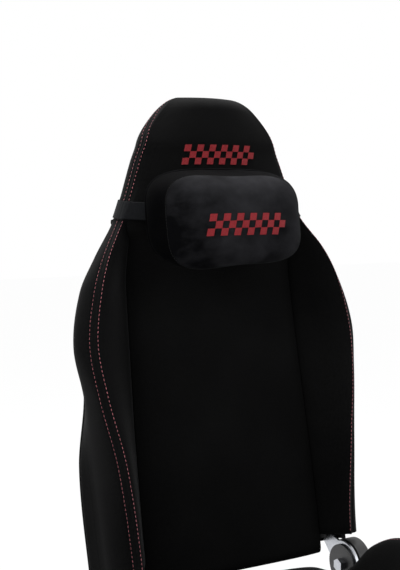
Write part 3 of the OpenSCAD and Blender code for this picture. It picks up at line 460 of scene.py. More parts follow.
def mirrored(points):
    """The points' mirror images across the seat, the last one first."""
    return [(-p[0], *p[1:]) for p in reversed(points)]


print("hip pivot at", [round(c / 1000, 3) for c in HIP])

# %% Even steps and smooth curves
def spread(start, stop, steps):
    return [start + (stop - start) * i / steps for i in range(steps + 1)]


def curve(stations, x):
    """Smooth curve through (place, value) stations."""
    last = len(stations) - 1
    i = next((k for k in range(last) if x < stations[k + 1][0]), last - 1)
    (x0, y0), (x1, y1) = stations[i], stations[i + 1]

    def slope(k):
        if k in (0, last):
            return 0.0
        (xa, ya), (xb, yb) = stations[k - 1], stations[k + 1]
        return (yb - ya) / (xb - xa)

    d = x1 - x0
    f = min(max((x - x0) / d, 0.0), 1.0)
    return (y0 * (2 * f**3 - 3 * f**2 + 1) + y1 * (3 * f**2 - 2 * f**3)
            + slope(i) * d * (f**3 - 2 * f**2 + f) + slope(i + 1) * d * (f**3 - f**2))


print("half way up a smooth step:", curve([(0, 0), (1, 1)], 0.5))

# %% [markdown]
# ## The backrest's outline
#
# Widths and depths are given at a few heights, and a smooth curve runs through them. The widest
# line swells at the shoulders and draws in at the neck. The stitched band runs inside it, and
# its two rows of thread lie fifteen millimetres apart.

# %% Outline of the backrest
LEVEL = {"base": 0, "hem": 58, "waist": 230, "flare": 340, "shoulder": 430, "upper": 520,
         "slope": 576, "gather": 600, "tuck": 622, "neck": 640, "chin": 655, "cheek": 700,
         "temple": 740, "corner": 768, "top": 848}
WING_HEM, SHOULDER, GATHER, NECK, TEMPLE, CORNER, TOP = [
    LEVEL[name] for name in ("hem", "shoulder", "gather", "neck", "temple", "corner", "top")]
PAD_HEM, MEET = 26, NECK + 3
CROWN_HALF, CROWN_R, BROW_R, NAPE_R, CREST_W = 132, TOP - CORNER, 28, 85, 20
SPLIT_W, COVER_W, COVER_R = -28, -62, 12


def at(**values):
    """The stations of a curve, given as its values at named levels."""
    return [(LEVEL[name], value) for name, value in values.items()]


HALF = at(base=246, hem=246, waist=253, flare=260, shoulder=276, upper=255, slope=222, neck=180,
          temple=142.5, corner=132, top=107)
TAPER = at(hem=-10, waist=-5, flare=21, shoulder=42, upper=42, neck=35.7, corner=50)
STITCH = at(hem=28, waist=19, flare=6, shoulder=15, upper=12, slope=4, neck=1, corner=2)
STITCH_RISE = at(hem=34, waist=45, flare=42, shoulder=36, upper=35, slope=28, neck=15, temple=22,
                 corner=28)
BAND_TURN = at(hem=45, flare=45, upper=32, slope=18, corner=14)
SIDE_RISE = at(hem=-8, waist=-8, flare=6, shoulder=12, upper=8, neck=3, temple=13, corner=20)
PANEL = at(hem=176, waist=174, shoulder=167.7, upper=165, slope=162.3, gather=162.5, tuck=167.5)
SEAM_INSIDE = at(tuck=12, neck=1.5, chin=3, cheek=10)
FACE = at(base=0, upper=0, slope=8, neck=46, temple=51.5, corner=54)
EDGE = at(base=-6, upper=-6, slope=5, neck=33, cheek=37, temple=40.5, corner=45)
POWER = at(base=6, upper=5, neck=3, cheek=2.4, temple=2.2, corner=2.2)
print("the backrest is", TOP, "mm long from the hip pivot to its top")

# %% Lines of the outline
def drawn_in(point, v):
    """A section point drawn in towards the head's rounded top."""
    crown = 1.0
    if v > CORNER:
        crown = (CROWN_HALF - CROWN_R + sqrt(max(CROWN_R**2 - (v - CORNER) ** 2, 0))) / CROWN_HALF
    turn_r = BROW_R if point[1] > CREST_W else NAPE_R
    over = max(v - TOP + turn_r, 0) / turn_r
    return point[0] * crown, CREST_W + (point[1] - CREST_W) * sqrt(max(1 - over**2, 0.0004))


def crown_v(degrees):
    """Height on the head's rounded corner, from its foot at 0 to the crest at 90 degrees."""
    return CORNER + CROWN_R * sin(radians(degrees))


def outer_row(v):
    return curve(HALF, v) - curve(STITCH, v), curve(STITCH_RISE, v)


def inner_row(v):
    turn = radians(curve(BAND_TURN, v))
    u, w = outer_row(v)
    return u - BAND * sin(turn), w + BAND * cos(turn)


def panel_edge(v):
    """The seam beside the centre panel; at the neck it runs out to the stitched band."""
    share = min(max((v - GATHER) / (NECK - GATHER), 0), 1)
    share = share * share * (3 - 2 * share)
    return curve(PANEL, v) * (1 - share) + (inner_row(v)[0] - curve(SEAM_INSIDE, v)) * share


def side_u(v, w):
    """How far out the narrowing side is at depth w."""
    mid = curve(SIDE_RISE, v)
    return curve(HALF, v) - curve(TAPER, v) * (1 - cos(pi / 2 * (mid - w) / (mid + 50)))


print("widest", curve(HALF, SHOULDER), "mm at the shoulders,", curve(HALF, NECK), "at the neck")

# %% [markdown]
# ## Sections of the foam
#
# Each function below gives one stretch of the backrest's outline at height v, from the middle of
# the face round to the back. A pad is built by stacking such sections up the backrest. The edge
# of each panel rolls over into its seam, as foam does under cloth that is sewn down tight.

# %% Sections
FACE_CROWN, SLOPE_SWELL, SLOPE_WIDE, BAND_SWELL = 6, 2, 45, 1.1


def quarter(steps):
    """Angles of a quarter turn, without the first."""
    return spread(0, pi / 2, steps)[1:]


def face_line(v):
    """Front of the centre panel or the head, from the middle to its edge."""
    edge, rise, low, power = panel_edge(v), curve(FACE, v), curve(EDGE, v), curve(POWER, v)
    return [(f * edge, low + (rise - low) * (1 - f**power) + FACE_CROWN * (1 - f * f))
            for f in [0.0] + [sin(a) for a in quarter(26)]]


def slope_line(v, steps=16):
    """From the panel's edge up to the inner row; it lifts gently out of the seam."""
    edge, low, tip = panel_edge(v), curve(EDGE, v), inner_row(v)
    swell = SLOPE_SWELL * min(abs(tip[0] - edge) / SLOPE_WIDE, 1) ** 2
    points = []
    for f in spread(0, 1, steps)[1:]:
        share = 3 * f**2 - 2 * f**3 + 0.7 * (f - 2 * f**2 + f**3) + 0.4 * (f**3 - f**2)
        points.append((edge + (tip[0] - edge) * f,
                       low + (tip[1] - low) * share + swell * sin(pi * f)))
    return points


def band_line(v, steps=8):
    """Across the band between the rows, a little full between its seams."""
    (u0, w0), (u1, w1) = inner_row(v), outer_row(v)
    out = Vector((w0 - w1, u1 - u0)).normalized()
    points = []
    for f in spread(0, 1, steps)[1:]:
        swell = BAND_SWELL * abs(sin(2 * pi * f))
        points.append((u0 + (u1 - u0) * f + out.x * swell, w0 + (w1 - w0) * f + out.y * swell))
    return points


def side_line(v, steps=12):
    """From the outer row over the widest line and back to where the foam ends."""
    (u, w), half, mid = outer_row(v), curve(HALF, v), curve(SIDE_RISE, v)
    over = [(u + (half - u) * sin(a), w - (w - mid) * (1 - cos(a))) for a in quarter(steps)]
    return over + [(side_u(v, w), w) for w in spread(mid, SPLIT_W, 6)[1:]]


def rear_line(v, steps=14):
    """The rear cover, from the foam's edge round to the middle of the back."""
    half, taper = curve(HALF, v), curve(TAPER, v)
    flat, turn_w = half - taper - COVER_R, COVER_W + COVER_R
    start = [(side_u(v, w), w) for w in spread(SPLIT_W - 0.4, turn_w, 5)]
    turn = [(flat + COVER_R * cos(a), turn_w - COVER_R * sin(a)) for a in quarter(6)]
    return start + turn + [(flat * f, COVER_W) for f in spread(1, 0, steps)[1:]]


shoulder_section = face_line(SHOULDER) + slope_line(SHOULDER) + side_line(SHOULDER)
print("section at the shoulders has", len(shoulder_section), "points")

# %% [markdown]
# ## From sections to a pad
#
# A pad starts as a flat grid, one row of vertices for each section. The rows are then laid on the
# sections, the grid's two long sides are merged so that it closes into a sleeve, and more rows
# that shrink to a point close its ends. Each vertex also gets a UV in metres along the cloth.
#
# Blender's operators act on what is selected and active, in code as by hand. So three small
# helpers select a piece, keep it in edit mode for a while, and apply a modifier to it.

# %% Select, edit, modify
def pick(*pieces):
    """Selects these pieces alone, the first of them active."""
    bpy.ops.object.select_all(action="DESELECT")
    for piece in pieces:
        piece.select_set(True)
    bpy.context.view_layer.objects.active = pieces[0]


@contextmanager
def editing(piece):
    """Edit mode on one piece for as long as the block lasts."""
    pick(piece)
    bpy.ops.object.mode_set(mode="EDIT")
    yield
    bpy.ops.object.mode_set(mode="OBJECT")


def modified(piece, kind, **settings):
    """Applies a modifier with these settings."""
    pick(piece)
    modifier = piece.modifiers.new(kind.lower(), kind)
    for key, value in settings.items():
        setattr(modifier, key, value)
    bpy.ops.object.modifier_apply(modifier=modifier.name)
    return piece


print("selected now:", len(bpy.context.selected_objects), "pieces")

# %% Sleeve
def arc_lengths(points):
    total, sums = 0.0, [0.0]
    for a, b in zip(points, points[1:]):
        total += (b - a).length
        sums.append(total)
    return sums


def cloth_grid(name, rows, zero=0):
    """A grid laid on rows of places, with its cloth UV counted from the column zero."""
    bpy.ops.object.select_all(action="DESELECT")
    across, along = len(rows[0]) - 1, len(rows) - 1
    bpy.ops.mesh.primitive_grid_add(x_subdivisions=across, y_subdivisions=along, size=2)
    piece = bpy.context.object
    piece.name = piece.data.name = name
    cell = [(round((v.co.y + 1) / 2 * along), round((v.co.x + 1) / 2 * across))
            for v in piece.data.vertices]
    us = [arc_lengths(row) for row in rows]
    us = [[s - sums[zero] for s in sums] for sums in us]
    vs = arc_lengths([row[zero] for row in rows])
    for vertex, (j, i) in zip(piece.data.vertices, cell):
        vertex.co = rows[j][i]
    layer = piece.data.uv_layers.new(name="cloth")
    for loop in piece.data.loops:
        j, i = cell[loop.vertex_index]
        layer.data[loop.index].uv = (us[j][i], vs[j])
    return piece


def closed_rows(rows, turns=4):
    """Closed rings, each with its first point repeated, and both ends brought to a point."""
    def shrink(ring, share):
        centre = sum(ring, Vector()) / len(ring)
        return [centre + (p - centre) * share for p in ring]

    shares = [i / turns for i in range(turns)]
    rows = ([shrink(rows[0], s) for s in shares] + rows
            + [shrink(rows[-1], s) for s in reversed(shares)])
    return [ring + ring[:1] for ring in rows]


print("a walk round a square metre is", arc_lengths([Vector(p) for p in (
    (0, 0), (1, 0), (1, 1), (0, 1), (0, 0))])[-1], "metres")

# %% Weld, soften and dress
def facing_outwards(piece, merge=0.0):
    """Points the faces outwards, once vertices closer than merge are made one."""
    with editing(piece):
        bpy.ops.mesh.select_all(action="SELECT")
        if merge:
            bpy.ops.mesh.remove_doubles(threshold=merge)
        bpy.ops.mesh.normals_make_consistent(inside=False)
    return piece


def weld(piece):
    return facing_outwards(piece, 0.00002)


def soften(piece, levels=0, angle=50):
    """Subdivides if asked, and shades smoothly."""
    if levels:
        modified(piece, "SUBSURF", levels=levels, render_levels=levels)
    pick(piece)
    bpy.ops.object.shade_smooth_by_angle(angle=radians(angle))
    return piece


def dress(piece, material, body, slot, *nodes):
    """Gives a finished piece its material and body, and hides the frame's nodes that it stands for.
    """
    piece.data.materials.clear()
    piece.data.materials.append(material)
    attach(piece, body)
    if nodes:
        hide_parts(*nodes)
    return piece


def sewn_pad(name, rings, body, *nodes, zero=0):
    """A foam pad in the seat's cloth, laid on rings of places."""
    pad = soften(weld(cloth_grid(name, closed_rows(rings), zero)))
    dress(pad, seat_cloth, body, "seat_fabric", *nodes)
    return pad


print("pad helpers ready")

# %% [markdown]
# ## Shoulder wings
#
# A wing is a long bolster. Its inner slope rises from the centre panel's seam, the stitched band
# runs over its ridge, and its side falls back to the rear cover. It ends in a point at the neck,
# under the pillow's strap, where its seam meets the band.

# %% Wings
SIDES = {1: "left", -1: "right"}
HEM_R, HEM_DEEP = 14, 8


def rounded_off(share, depth):
    """How far an edge is rounded off, where share runs 0..1 towards it."""
    share = min(max(share, 0), 1)
    return depth * (1 - sqrt(1 - share * share))


def hem_drop(v, hem):
    return rounded_off((hem + HEM_R - v) / HEM_R, HEM_DEEP)


def wing_section(v, side):
    """Ring of (u, w) at height v, and which of its points lies on the band's middle."""
    edge, low = panel_edge(v) + 0.2, curve(EDGE, v)
    drop = hem_drop(v, WING_HEM)
    tuck = [(edge, SPLIT_W), (edge, (SPLIT_W + low) / 2), (edge, low - 7), (edge + 0.3, low - 3.5),
            (edge + 1.2, low - 1.2)]
    slope, band, flank = slope_line(v), band_line(v), side_line(v)
    back = [(flank[-1][0] + (edge - flank[-1][0]) * f, SPLIT_W) for f in (0.25, 0.5, 0.75)]
    points = tuck + slope + band + flank + back
    lowered = len(tuck) + len(slope)
    points = [(u, w - (drop if 2 <= i < lowered else 0)) for i, (u, w) in enumerate(points)]
    return [(side * u, w) for u, w in points], lowered + len(band) // 2 - 1


def make_wing(side, name):
    rings = []
    for v in [WING_HEM + d for d in (0, 1.5, 5, 10)] + spread(WING_HEM + 16, MEET - 0.4, 116):
        points, middle = wing_section(v, side)
        rings.append([on_back(u, v, w) for u, w in points])
    return sewn_pad("wing_" + name, rings, "backrest", "back_wing_" + name, zero=middle)


wings = {side: make_wing(side, name) for side, name in SIDES.items()}
print("wings have", len(wings[1].data.polygons), "faces each")

# %% [markdown]
# ## Centre panel and head
#
# The centre panel is the part that the sitter leans on, a flat crowned cushion whose long sides
# dive into the seams beside the wings. The same cloth runs on over the head section without a
# join. The head stands forward, carries the stitched band on its own edge, and is rounded over
# its top. So both are one pad: up to the neck the outer columns of its grid run down inside the
# seam, and above the neck the same columns make the band and the head's sides.

# %% Panel
def head_heights():
    return spread(MEET, CORNER, 32) + [crown_v(a) for a in (*range(4, 85, 4), 86, 87.5, 88.6)]


def panel_section(v):
    """Ring of (u, w) of the pad at height v."""
    outside = slope_line(v, 6) + band_line(v) + side_line(v)
    face = [(u, w - hem_drop(v, PAD_HEM)) for u, w in face_line(v)]
    if v < MEET:
        edge, low = face[-1][0] - 0.2, face[-1][1]
        face = [(min(u, edge), w) for u, w in face]
        outside = [(edge, w) for w in spread(low, SPLIT_W, len(outside))[1:]]
    right = face + outside + [(outside[-1][0] * f, SPLIT_W) for f in (0.8, 0.5, 0.25)]
    return [drawn_in(point, v) for point in right + [(0, SPLIT_W)] + mirrored(right[1:])]


heights = ([PAD_HEM + d for d in (0, 1.5, 5, 9)] + spread(PAD_HEM + HEM_R, MEET - 0.4, 118)
           + head_heights())
panel = sewn_pad("back_panel", [[on_back(u, v, w) for u, w in panel_section(v)] for v in heights],
                 "backrest", "back_centre_pad", "head_pad")
print("back panel has", len(panel.data.polygons), "faces")

# %% [markdown]
# ## Rear cover
#
# Behind the foam the cover is only cloth, stretched over the frame. It is one sheet that starts
# where the foam ends, turns over the rear edge and crosses the back. Solidify gives it the
# thickness of cloth with its backing foam.

# %% Rear cover
HIP_ROOM = 46
COVER_HEM = sqrt(HIP_ROOM**2 - SPLIT_W**2)  # a circle of that radius round the hip pivot ends here


def cover_row(v, flat=None):
    """The cover's row at height v; flat folds it to one depth."""
    half = [drawn_in(p, v) for p in rear_line(v)]
    half = [(u, v, w if flat is None else flat) for u, w in half]
    return [on_back(*point) for point in half + mirrored(half[:-1])]


heights = spread(COVER_HEM, MEET - 3, 96) + head_heights()
rows = [cover_row(v) for v in heights] + [cover_row(TOP - 0.2, CREST_W - 0.3)]
middle = len(rows[0]) // 2
cover = facing_outwards(cloth_grid("rear_cover_cloth", rows, middle))
cover_size = (max(arc_lengths(row)[-1] for row in rows),
              arc_lengths([row[middle] for row in rows])[-1])

# %% [markdown]
# ## Lines of thread
#
# Stitches lie on the cloth, so their path is dropped onto the finished pads: for each point of
# the drawn line the nearest place on the surface is found, with its normal. The path is then cut
# into even steps, seven millimetres from one stitch to the next.

# %% Paths on the surface
def surface_of(*pieces):
    """A search tree over the faces of several pieces."""
    points, faces = [], []
    for piece in pieces:
        first = len(points)
        points += [v.co.copy() for v in piece.data.vertices]
        faces += [[first + i for i in face.vertices] for face in piece.data.polygons]
    return BVHTree.FromPolygons(points, faces)


def dropped(path, surface):
    """(place, normal) of each point of a path, on the surface nearest to it."""
    return [surface.find_nearest(p)[:2] for p in path]


def walked(places, stops):
    """Each stop, a length along the places, as the place it follows and the share beyond it."""
    sums, k = arc_lengths(places), 0
    for stop in stops:
        while sums[k + 1] < stop:
            k += 1
        yield k, (stop - sums[k]) / max(sums[k + 1] - sums[k], 1e-9)


def even_steps(path, step, start=0.0):
    """Points of a path, with their normals and directions, one step apart."""
    places = [p for p, _ in path]
    stops, end = [start], arc_lengths(places)[-1]
    while stops[-1] + step < end:
        stops.append(stops[-1] + step)
    return [(places[k].lerp(places[k + 1], f), path[k][1].lerp(path[k + 1][1], f).normalized(),
             (places[k + 1] - places[k]).normalized()) for k, f in walked(places, stops)]


print("paths are laid on the pads by their nearest faces")

# %% The band's rows
def band_path(row, side):
    """The band's line at row millimetres inside its middle, from the hem up to the crest."""
    share = 0.5 + row / BAND
    path = []
    for v in spread(WING_HEM + 5, CORNER, 150):
        (u0, w0), (u1, w1) = outer_row(v), inner_row(v)
        path.append((u0 + (u1 - u0) * share, v, w0 + (w1 - w0) * share))
    inside, w_side = curve(HALF, CORNER) - path[-1][0], path[-1][2]
    w_top = CREST_W - 9 + row
    for a in spread(0, 88, 30)[1:]:
        v = crown_v(a)
        u = drawn_in((curve(HALF, v), 0), v)[0] - inside * cos(radians(a))
        path.append((u, v, w_side + (w_top - w_side) * sin(radians(a)) ** 1.5))
    last = path[-1]
    path += [(last[0] * (1 - f), TOP, w_top) for f in spread(0, 1, 20)[1:]]
    return [on_back(side * u, v, w) for u, v, w in path]


def over_the_top(left, right):
    """One line of two: up the left side, over the crest and down the right side."""
    return left + right[-2::-1]


back_skin = surface_of(wings[1], wings[-1], panel, cover)
band_rows = {row: dropped(over_the_top(band_path(row, 1), band_path(row, -1)), back_skin)
             for row in (-ROW, 0, ROW)}
print("band runs", round(arc_lengths([p for p, _ in band_rows[0]])[-1], 3), "m round the backrest")

# %% [markdown]
# A stitch is a short length of thread that dips into the cloth at both ends. It is modelled once,
# as a cylinder whose ends are scaled down and pushed under, and copied along the row. All the
# stitches of a row are one mesh.

# %% Stitches
BAND_STITCH = 0.0070, 0.0038, 0.0008  # pitch, length and thickness, in metres


def model_stitch(length, thick):
    bpy.ops.object.select_all(action="DESELECT")
    bpy.ops.mesh.primitive_cylinder_add(vertices=8, radius=thick / 2, depth=length,
                                        rotation=(0, pi / 2, 0), end_fill_type="TRIFAN")
    piece = bpy.context.object
    bpy.ops.object.transform_apply(rotation=True)
    with editing(piece):
        for k in range(1, 6):
            bpy.ops.mesh.select_all(action="SELECT")
            bpy.ops.mesh.bisect(plane_co=(length * (k / 6 - 0.5), 0, 0), plane_no=(1, 0, 0))
    for vertex in piece.data.vertices:
        f = abs(vertex.co.x) / (length / 2)
        narrow = 1 - 0.45 * f**3
        vertex.co.y *= narrow * 1.1
        vertex.co.z = vertex.co.z * narrow - thick * 0.75 * f**2.4 + thick * 0.22
    points = [v.co.copy() for v in piece.data.vertices]
    faces = [list(face.vertices) for face in piece.data.polygons]
    bpy.data.objects.remove(piece)
    return points, faces


print("one stitch has", len(model_stitch(*BAND_STITCH[1:])[1]), "faces")

# %% Sew
def sew(name, paths, stitch, material, body, slot):
    """Rows of stitches along paths of (place, normal), as one mesh."""
    pitch, length, thick = stitch
    points, faces = model_stitch(length, thick)
    all_points, all_faces, uvs = [], [], []
    draw = random.Random(7)
    for path in paths:
        for place, normal, along in even_steps(path, pitch, pitch / 2):
            across = normal.cross(along).normalized()
            along = (along + across * draw.uniform(-0.05, 0.05)).normalized()
            across = normal.cross(along).normalized()
            turn = Matrix((along, across, normal)).transposed()
            first = len(all_points)
            all_points += [place + turn @ p for p in points]
            all_faces += [[first + i for i in face] for face in faces]
            uvs += [(p.x, p.y) for p in points]
    mesh = bpy.data.meshes.new(name)
    mesh.from_pydata(all_points, [], all_faces)
    layer = mesh.uv_layers.new(name="cloth")
    for loop in mesh.loops:
        layer.data[loop.index].uv = uvs[loop.vertex_index]
    piece = bpy.data.objects.new(name, mesh)
    scene.collection.objects.link(piece)
    dress(soften(piece, 0, 60), material, body, slot)
    print(name, "has", len(all_points) // len(points), "stitches")


sew("band_stitches", [band_rows[-ROW], band_rows[ROW]], BAND_STITCH,
    crimson_thread, "backrest", "seat_fabric")

# %% [markdown]
# The same rows press the cloth in. Every vertex stores its distance from the band's middle, and
# the cloth's shader bumps the fold and the two pressed lines from it and paints shade into them.
# Beside the centre panel it also stores how near the valley of that seam it lies, which sets how
# much shade is painted there.

# %% Seam distance
VALLEY_REACH = 0.024


def store_values(piece, name, values):
    piece.data.attributes.new(name, "FLOAT", "POINT").data.foreach_set("value", values)


def gaps_to(piece, path):
    """Each vertex's distance from a path, in metres."""
    steps = even_steps(path, 0.002)
    tree = KDTree(len(steps))
    for k, (place, _, _) in enumerate(steps):
        tree.insert(place, k)
    tree.balance()
    return [tree.find(vertex.co)[2] for vertex in piece.data.vertices]


def mark_seam(piece, path, side=None):
    """Stores each vertex's distance from a path, in millimetres, signed where side is given."""
    signs = [side(vertex.co) if side else 1 for vertex in piece.data.vertices]
    store_values(piece, "seam", [copysign(min(1000 * gap, SEAM_FAR), sign)
                                 for gap, sign in zip(gaps_to(piece, path), signs)])


def mark_valley(piece, paths):
    """Stores how deep in a seam's valley each vertex lies, the weight of the painted shade there: 1
    on a path, 0 beyond its reach.
    """
    nearest = map(min, *[gaps_to(piece, path) for path in paths])
    store_values(piece, "valley_shade", [max(1 - gap / VALLEY_REACH, 0) ** 1.5 for gap in nearest])


for piece in (wings[1], wings[-1], panel, cover):
    mark_seam(piece, band_rows[0])
valley_paths = [dropped([on_back(side * panel_edge(v), v, curve(EDGE, v) + 4)
                         for v in spread(PAD_HEM + 6, GATHER, 90)], surface_of(panel))
                for side in SIDES]
for piece in (wings[1], wings[-1], panel):
    mark_valley(piece, valley_paths)
print("seam distances stored")

# %% [markdown]
# Now the rear cover gets its thickness, and a welt: a cord wrapped in the same cloth, sewn into
# the seam where the sides meet the back. It also stiffens that edge, which is rubbed most.

# %% Cover and welt
WELT_W, WELT_TOP = -58.5, TOP - 6


def thicken(piece, thickness, offset=-1):
    """Gives a sheet its thickness in metres, inwards or, with offset 1, outwards."""
    return modified(piece, "SOLIDIFY", thickness=thickness, offset=offset)


def tube_along(name, path, radius, sides=10, closed=False):
    """A cord of cloth or a bar that follows a path of (place, normal)."""
    rows = []
    places = [p for p, _ in path]
    for k, (place, normal) in enumerate(path):
        ahead = places[(k + 1) % len(places)] if closed else places[min(k + 1, len(places) - 1)]
        behind = places[k - 1] if closed or k else places[0]
        along = (ahead - behind).normalized()
        side = along.cross(normal).normalized()
        up = side.cross(along).normalized()
        rows.append([place + (side * cos(a) + up * sin(a)) * radius
                     for a in spread(0, 2 * pi, sides)[:-1]])
    rows = [ring + ring[:1] for ring in rows + rows[:1]] if closed else closed_rows(rows, 2)
    return soften(weld(cloth_grid(name, rows)), 0, 80)


def welt_path(side):
    def edge(v):
        return curve(HALF, v) - curve(TAPER, v) - 2.5, WELT_W

    path = [(*edge(v), v) for v in spread(COVER_HEM + 1, CORNER, 120)]
    path += [(*drawn_in(edge(v), min(v, WELT_TOP)), min(v, WELT_TOP))
             for v in map(crown_v, spread(0, 90, 30)[1:])]
    u, w, v = path[-1]
    path += [(u * (1 - f), w, v) for f in spread(0, 1, 16)[1:]]
    return [on_back(side * u, v, w) for u, w, v in path]


welt_line = dropped(over_the_top(welt_path(1), welt_path(-1)), surface_of(cover))
welt = tube_along("rear_welt", [(p + n * 0.0008, n) for p, n in welt_line], 0.0023)
dress(welt, seat_cloth, "backrest", "seat_fabric")
soften(thicken(cover, 0.0022))
dress(cover, seat_cloth, "backrest", "seat_fabric", "rear_cover")
print("welt runs", round(arc_lengths([p for p, _ in welt_line])[-1], 3), "m")

# %% [markdown]
# ## Seat cushion
#
# The cushion is drawn on its own board. The centre cushion is crowned across and falls away in a
# round nose under the knees. A thigh bolster on each side rises to a crest and carries the same
# double row of stitches as the backrest, so that the band seems to run on down into the seat.

# %% Cushion
CUSHION_LEN, CUSHION_HALF, CUSHION_BASE, NOSE_R = 505, 168, 45, 46
BOLSTER_TAIL, BOLSTER_FLOOR, STEP_U, CREST = 62, 30, 211.5, 0.68
NOSE_L, NOSE_DEEP, DIVE = CUSHION_LEN - NOSE_R, 18, 9
FACE_H = [(-15, 8), (200, 14), (459, 24)]
CREST_H = [(62, 15), (76, 29.6), (98, 50.3), (152, 69.6), (290, 74), (420, 66.6), (480, 45.9),
           (505, 11.8)]
BOLSTER_HALF = [(62, 240), (200, 250), (330, 260), (445, 256), (505, 238)]


def nose_drop(l):
    return rounded_off((l - NOSE_L) / NOSE_R, NOSE_DEEP)


def nose_places():
    return [NOSE_L + NOSE_R * sin(radians(a)) for a in list(range(5, 86, 5)) + [88]]


def cushion_section(l):
    top, tail = curve(FACE_H, l) - nose_drop(l), max(-l, 0) / 3
    crown, edge = (3.5 if tail else 7), CUSHION_HALF - 0.2
    face = [(f * edge, top - tail - DIVE * f**10 + crown * (1 - f * f))
            for f in [0.0] + [sin(a) for a in quarter(24)]]
    side = [(edge, h) for h in spread(face[-1][1], -CUSHION_BASE, 8)[1:]]
    half = face + side + [(edge * f, -CUSHION_BASE) for f in (0.75, 0.5, 0.25, 0)]
    return half + mirrored(half[1:-1])


def bolster_section(l, side):
    edge, out = CUSHION_HALF + 0.2, curve(BOLSTER_HALF, l)
    low = curve(FACE_H, l) - DIVE - nose_drop(l)
    crest, tip = max(curve(CREST_H, l), low + 2), edge + (out - edge) * CREST
    belly = (crest - BOLSTER_FLOOR) / 2
    slope = [(edge + (tip - edge) * f, low + (crest - low) * (1 - (1 - f) ** 2.2))
             for f in spread(0, 1, 22)]
    flank = [(tip + (out - tip) * sin(a), crest - (crest - belly) * (1 - cos(a)))
             for a in quarter(14)]
    below = [(out - 3, (belly - BOLSTER_FLOOR) / 2), (out - 8, -BOLSTER_FLOOR),
             (STEP_U, -BOLSTER_FLOOR), (STEP_U, -CUSHION_BASE), (edge, -CUSHION_BASE)]
    under = [(edge, h) for h in spread(-CUSHION_BASE, low, 6)[1:-1]]
    return [(side * u, h) for u, h in slope + flank + below + under]


print("cushion is", CUSHION_LEN, "mm long from the hip pivot to its nose")

# %% Cushion and thigh bolsters
places = [-15, -13.5, -9, -2] + spread(6, NOSE_L - 4, 64) + [NOSE_L] + nose_places()
cushion = sewn_pad("cushion_panel", [[on_cushion(u, l, h) for u, h in cushion_section(l)]
                                     for l in places], "seat_base", "centre_cushion")
places = (spread(BOLSTER_TAIL, BOLSTER_TAIL + 42, 14) + spread(BOLSTER_TAIL + 50, NOSE_L, 52)
          + nose_places())
bolsters = {side: sewn_pad("thigh_roll_" + name, [
    [on_cushion(u, l, h) for u, h in bolster_section(l, side)] for l in places],
    "seat_base", "thigh_bolster_" + name) for side, name in SIDES.items()}


print("cushion has", len(cushion.data.polygons), "faces, a bolster", len(bolsters[1].data.polygons))

# %% Cushion's seams
def bolster_path(side, row):
    """The band's line along a thigh bolster's crest, at row millimetres inside its middle."""
    path = []
    for l in spread(BOLSTER_TAIL + 10, CUSHION_LEN - 4, 90):
        tip = CUSHION_HALF + (curve(BOLSTER_HALF, l) - CUSHION_HALF) * CREST
        path.append(on_cushion(side * (tip - row), l, curve(CREST_H, l) + 1))
    return path


crest_rows = []
for side in SIDES:
    skin = surface_of(bolsters[side])
    crest_rows += [dropped(bolster_path(side, row), skin) for row in (-ROW, ROW)]
    mark_seam(bolsters[side], dropped(bolster_path(side, 0), skin))
sew("thigh_stitches", crest_rows, BAND_STITCH, crimson_thread, "seat_base", "seat_fabric")
knee_path = [on_cushion(u, NOSE_L - 4, curve(FACE_H, NOSE_L) + 3)
             for u in spread(10 - CUSHION_HALF, CUSHION_HALF - 10, 60)]
knee_line = dropped(knee_path, surface_of(cushion))
mark_seam(cushion, knee_line)
sew("knee_stitches", [knee_line], (0.0060, 0.0042, 0.0009),
    black_thread, "seat_base", "seat_fabric")
print("the seam under the knees runs", round(arc_lengths([p for p, _ in knee_line])[-1], 3), "m")

# %% [markdown]
# ## Checked strip
#
# A slanting strip of satin checks is embroidered on the head section, and again on the pillow.
# It starts as one grid laid on the cloth. Every second check is deleted, and Solidify raises the
# others by the thickness of the thread.

# %% Embroidery
CHECKS, CHECK_ROWS, CHECK_STEPS, SLANT = 12, 3, 4, 0.28
RAY_START = 400


def checked_strip(name, surface, middle, size, body, slot):
    (u0, v0), (width, height) = middle, size
    back = (on_back(0, 0, 0) - on_back(0, 0, 1)).normalized()

    def laid(across, up):
        u = u0 + width * across + SLANT * height * up
        place, normal, _, _ = surface.ray_cast(on_back(u, v0 + height * up, RAY_START), back)
        return place + normal * 0.0002

    strip = cloth_grid(name, [[laid(across, up)
                               for across in spread(-0.5, 0.5, CHECKS * CHECK_STEPS)]
                              for up in spread(-0.5, 0.5, CHECK_ROWS * CHECK_STEPS)])
    with editing(strip):
        bpy.ops.mesh.select_mode(type="FACE")
        bpy.ops.mesh.select_all(action="DESELECT")
    for face in strip.data.polygons:
        up = on_board(face.center)[0] - v0
        across = face.center.x * 1000 - u0 - SLANT * up
        column = (across / width + 0.5) * CHECKS // 1
        row = (up / height + 0.5) * CHECK_ROWS // 1
        face.select = (column + row) % 2 == 1
    with editing(strip):
        bpy.ops.mesh.delete(type="FACE")
    dress(soften(thicken(strip, 0.0007, 1), 0, 40), satin_thread, body, slot)


checked_strip("head_checks", surface_of(panel), (5.5, TEMPLE), (142, 34), "backrest", "seat_fabric")
print("checked strip on the head")

# %% [markdown]
# ## Zip
#
# The rear cover closes with a zip along its lower edge. It has a woven tape, two rows of moulded
# teeth that stand half a pitch apart, and a slider with its pull. One tooth is modelled and the
# Array modifier repeats it.

# %% Zip
ZIP_V, ZIP_HALF, TOOTH = 65, 200, 3.0
ZIP_W = COVER_W - 0.4


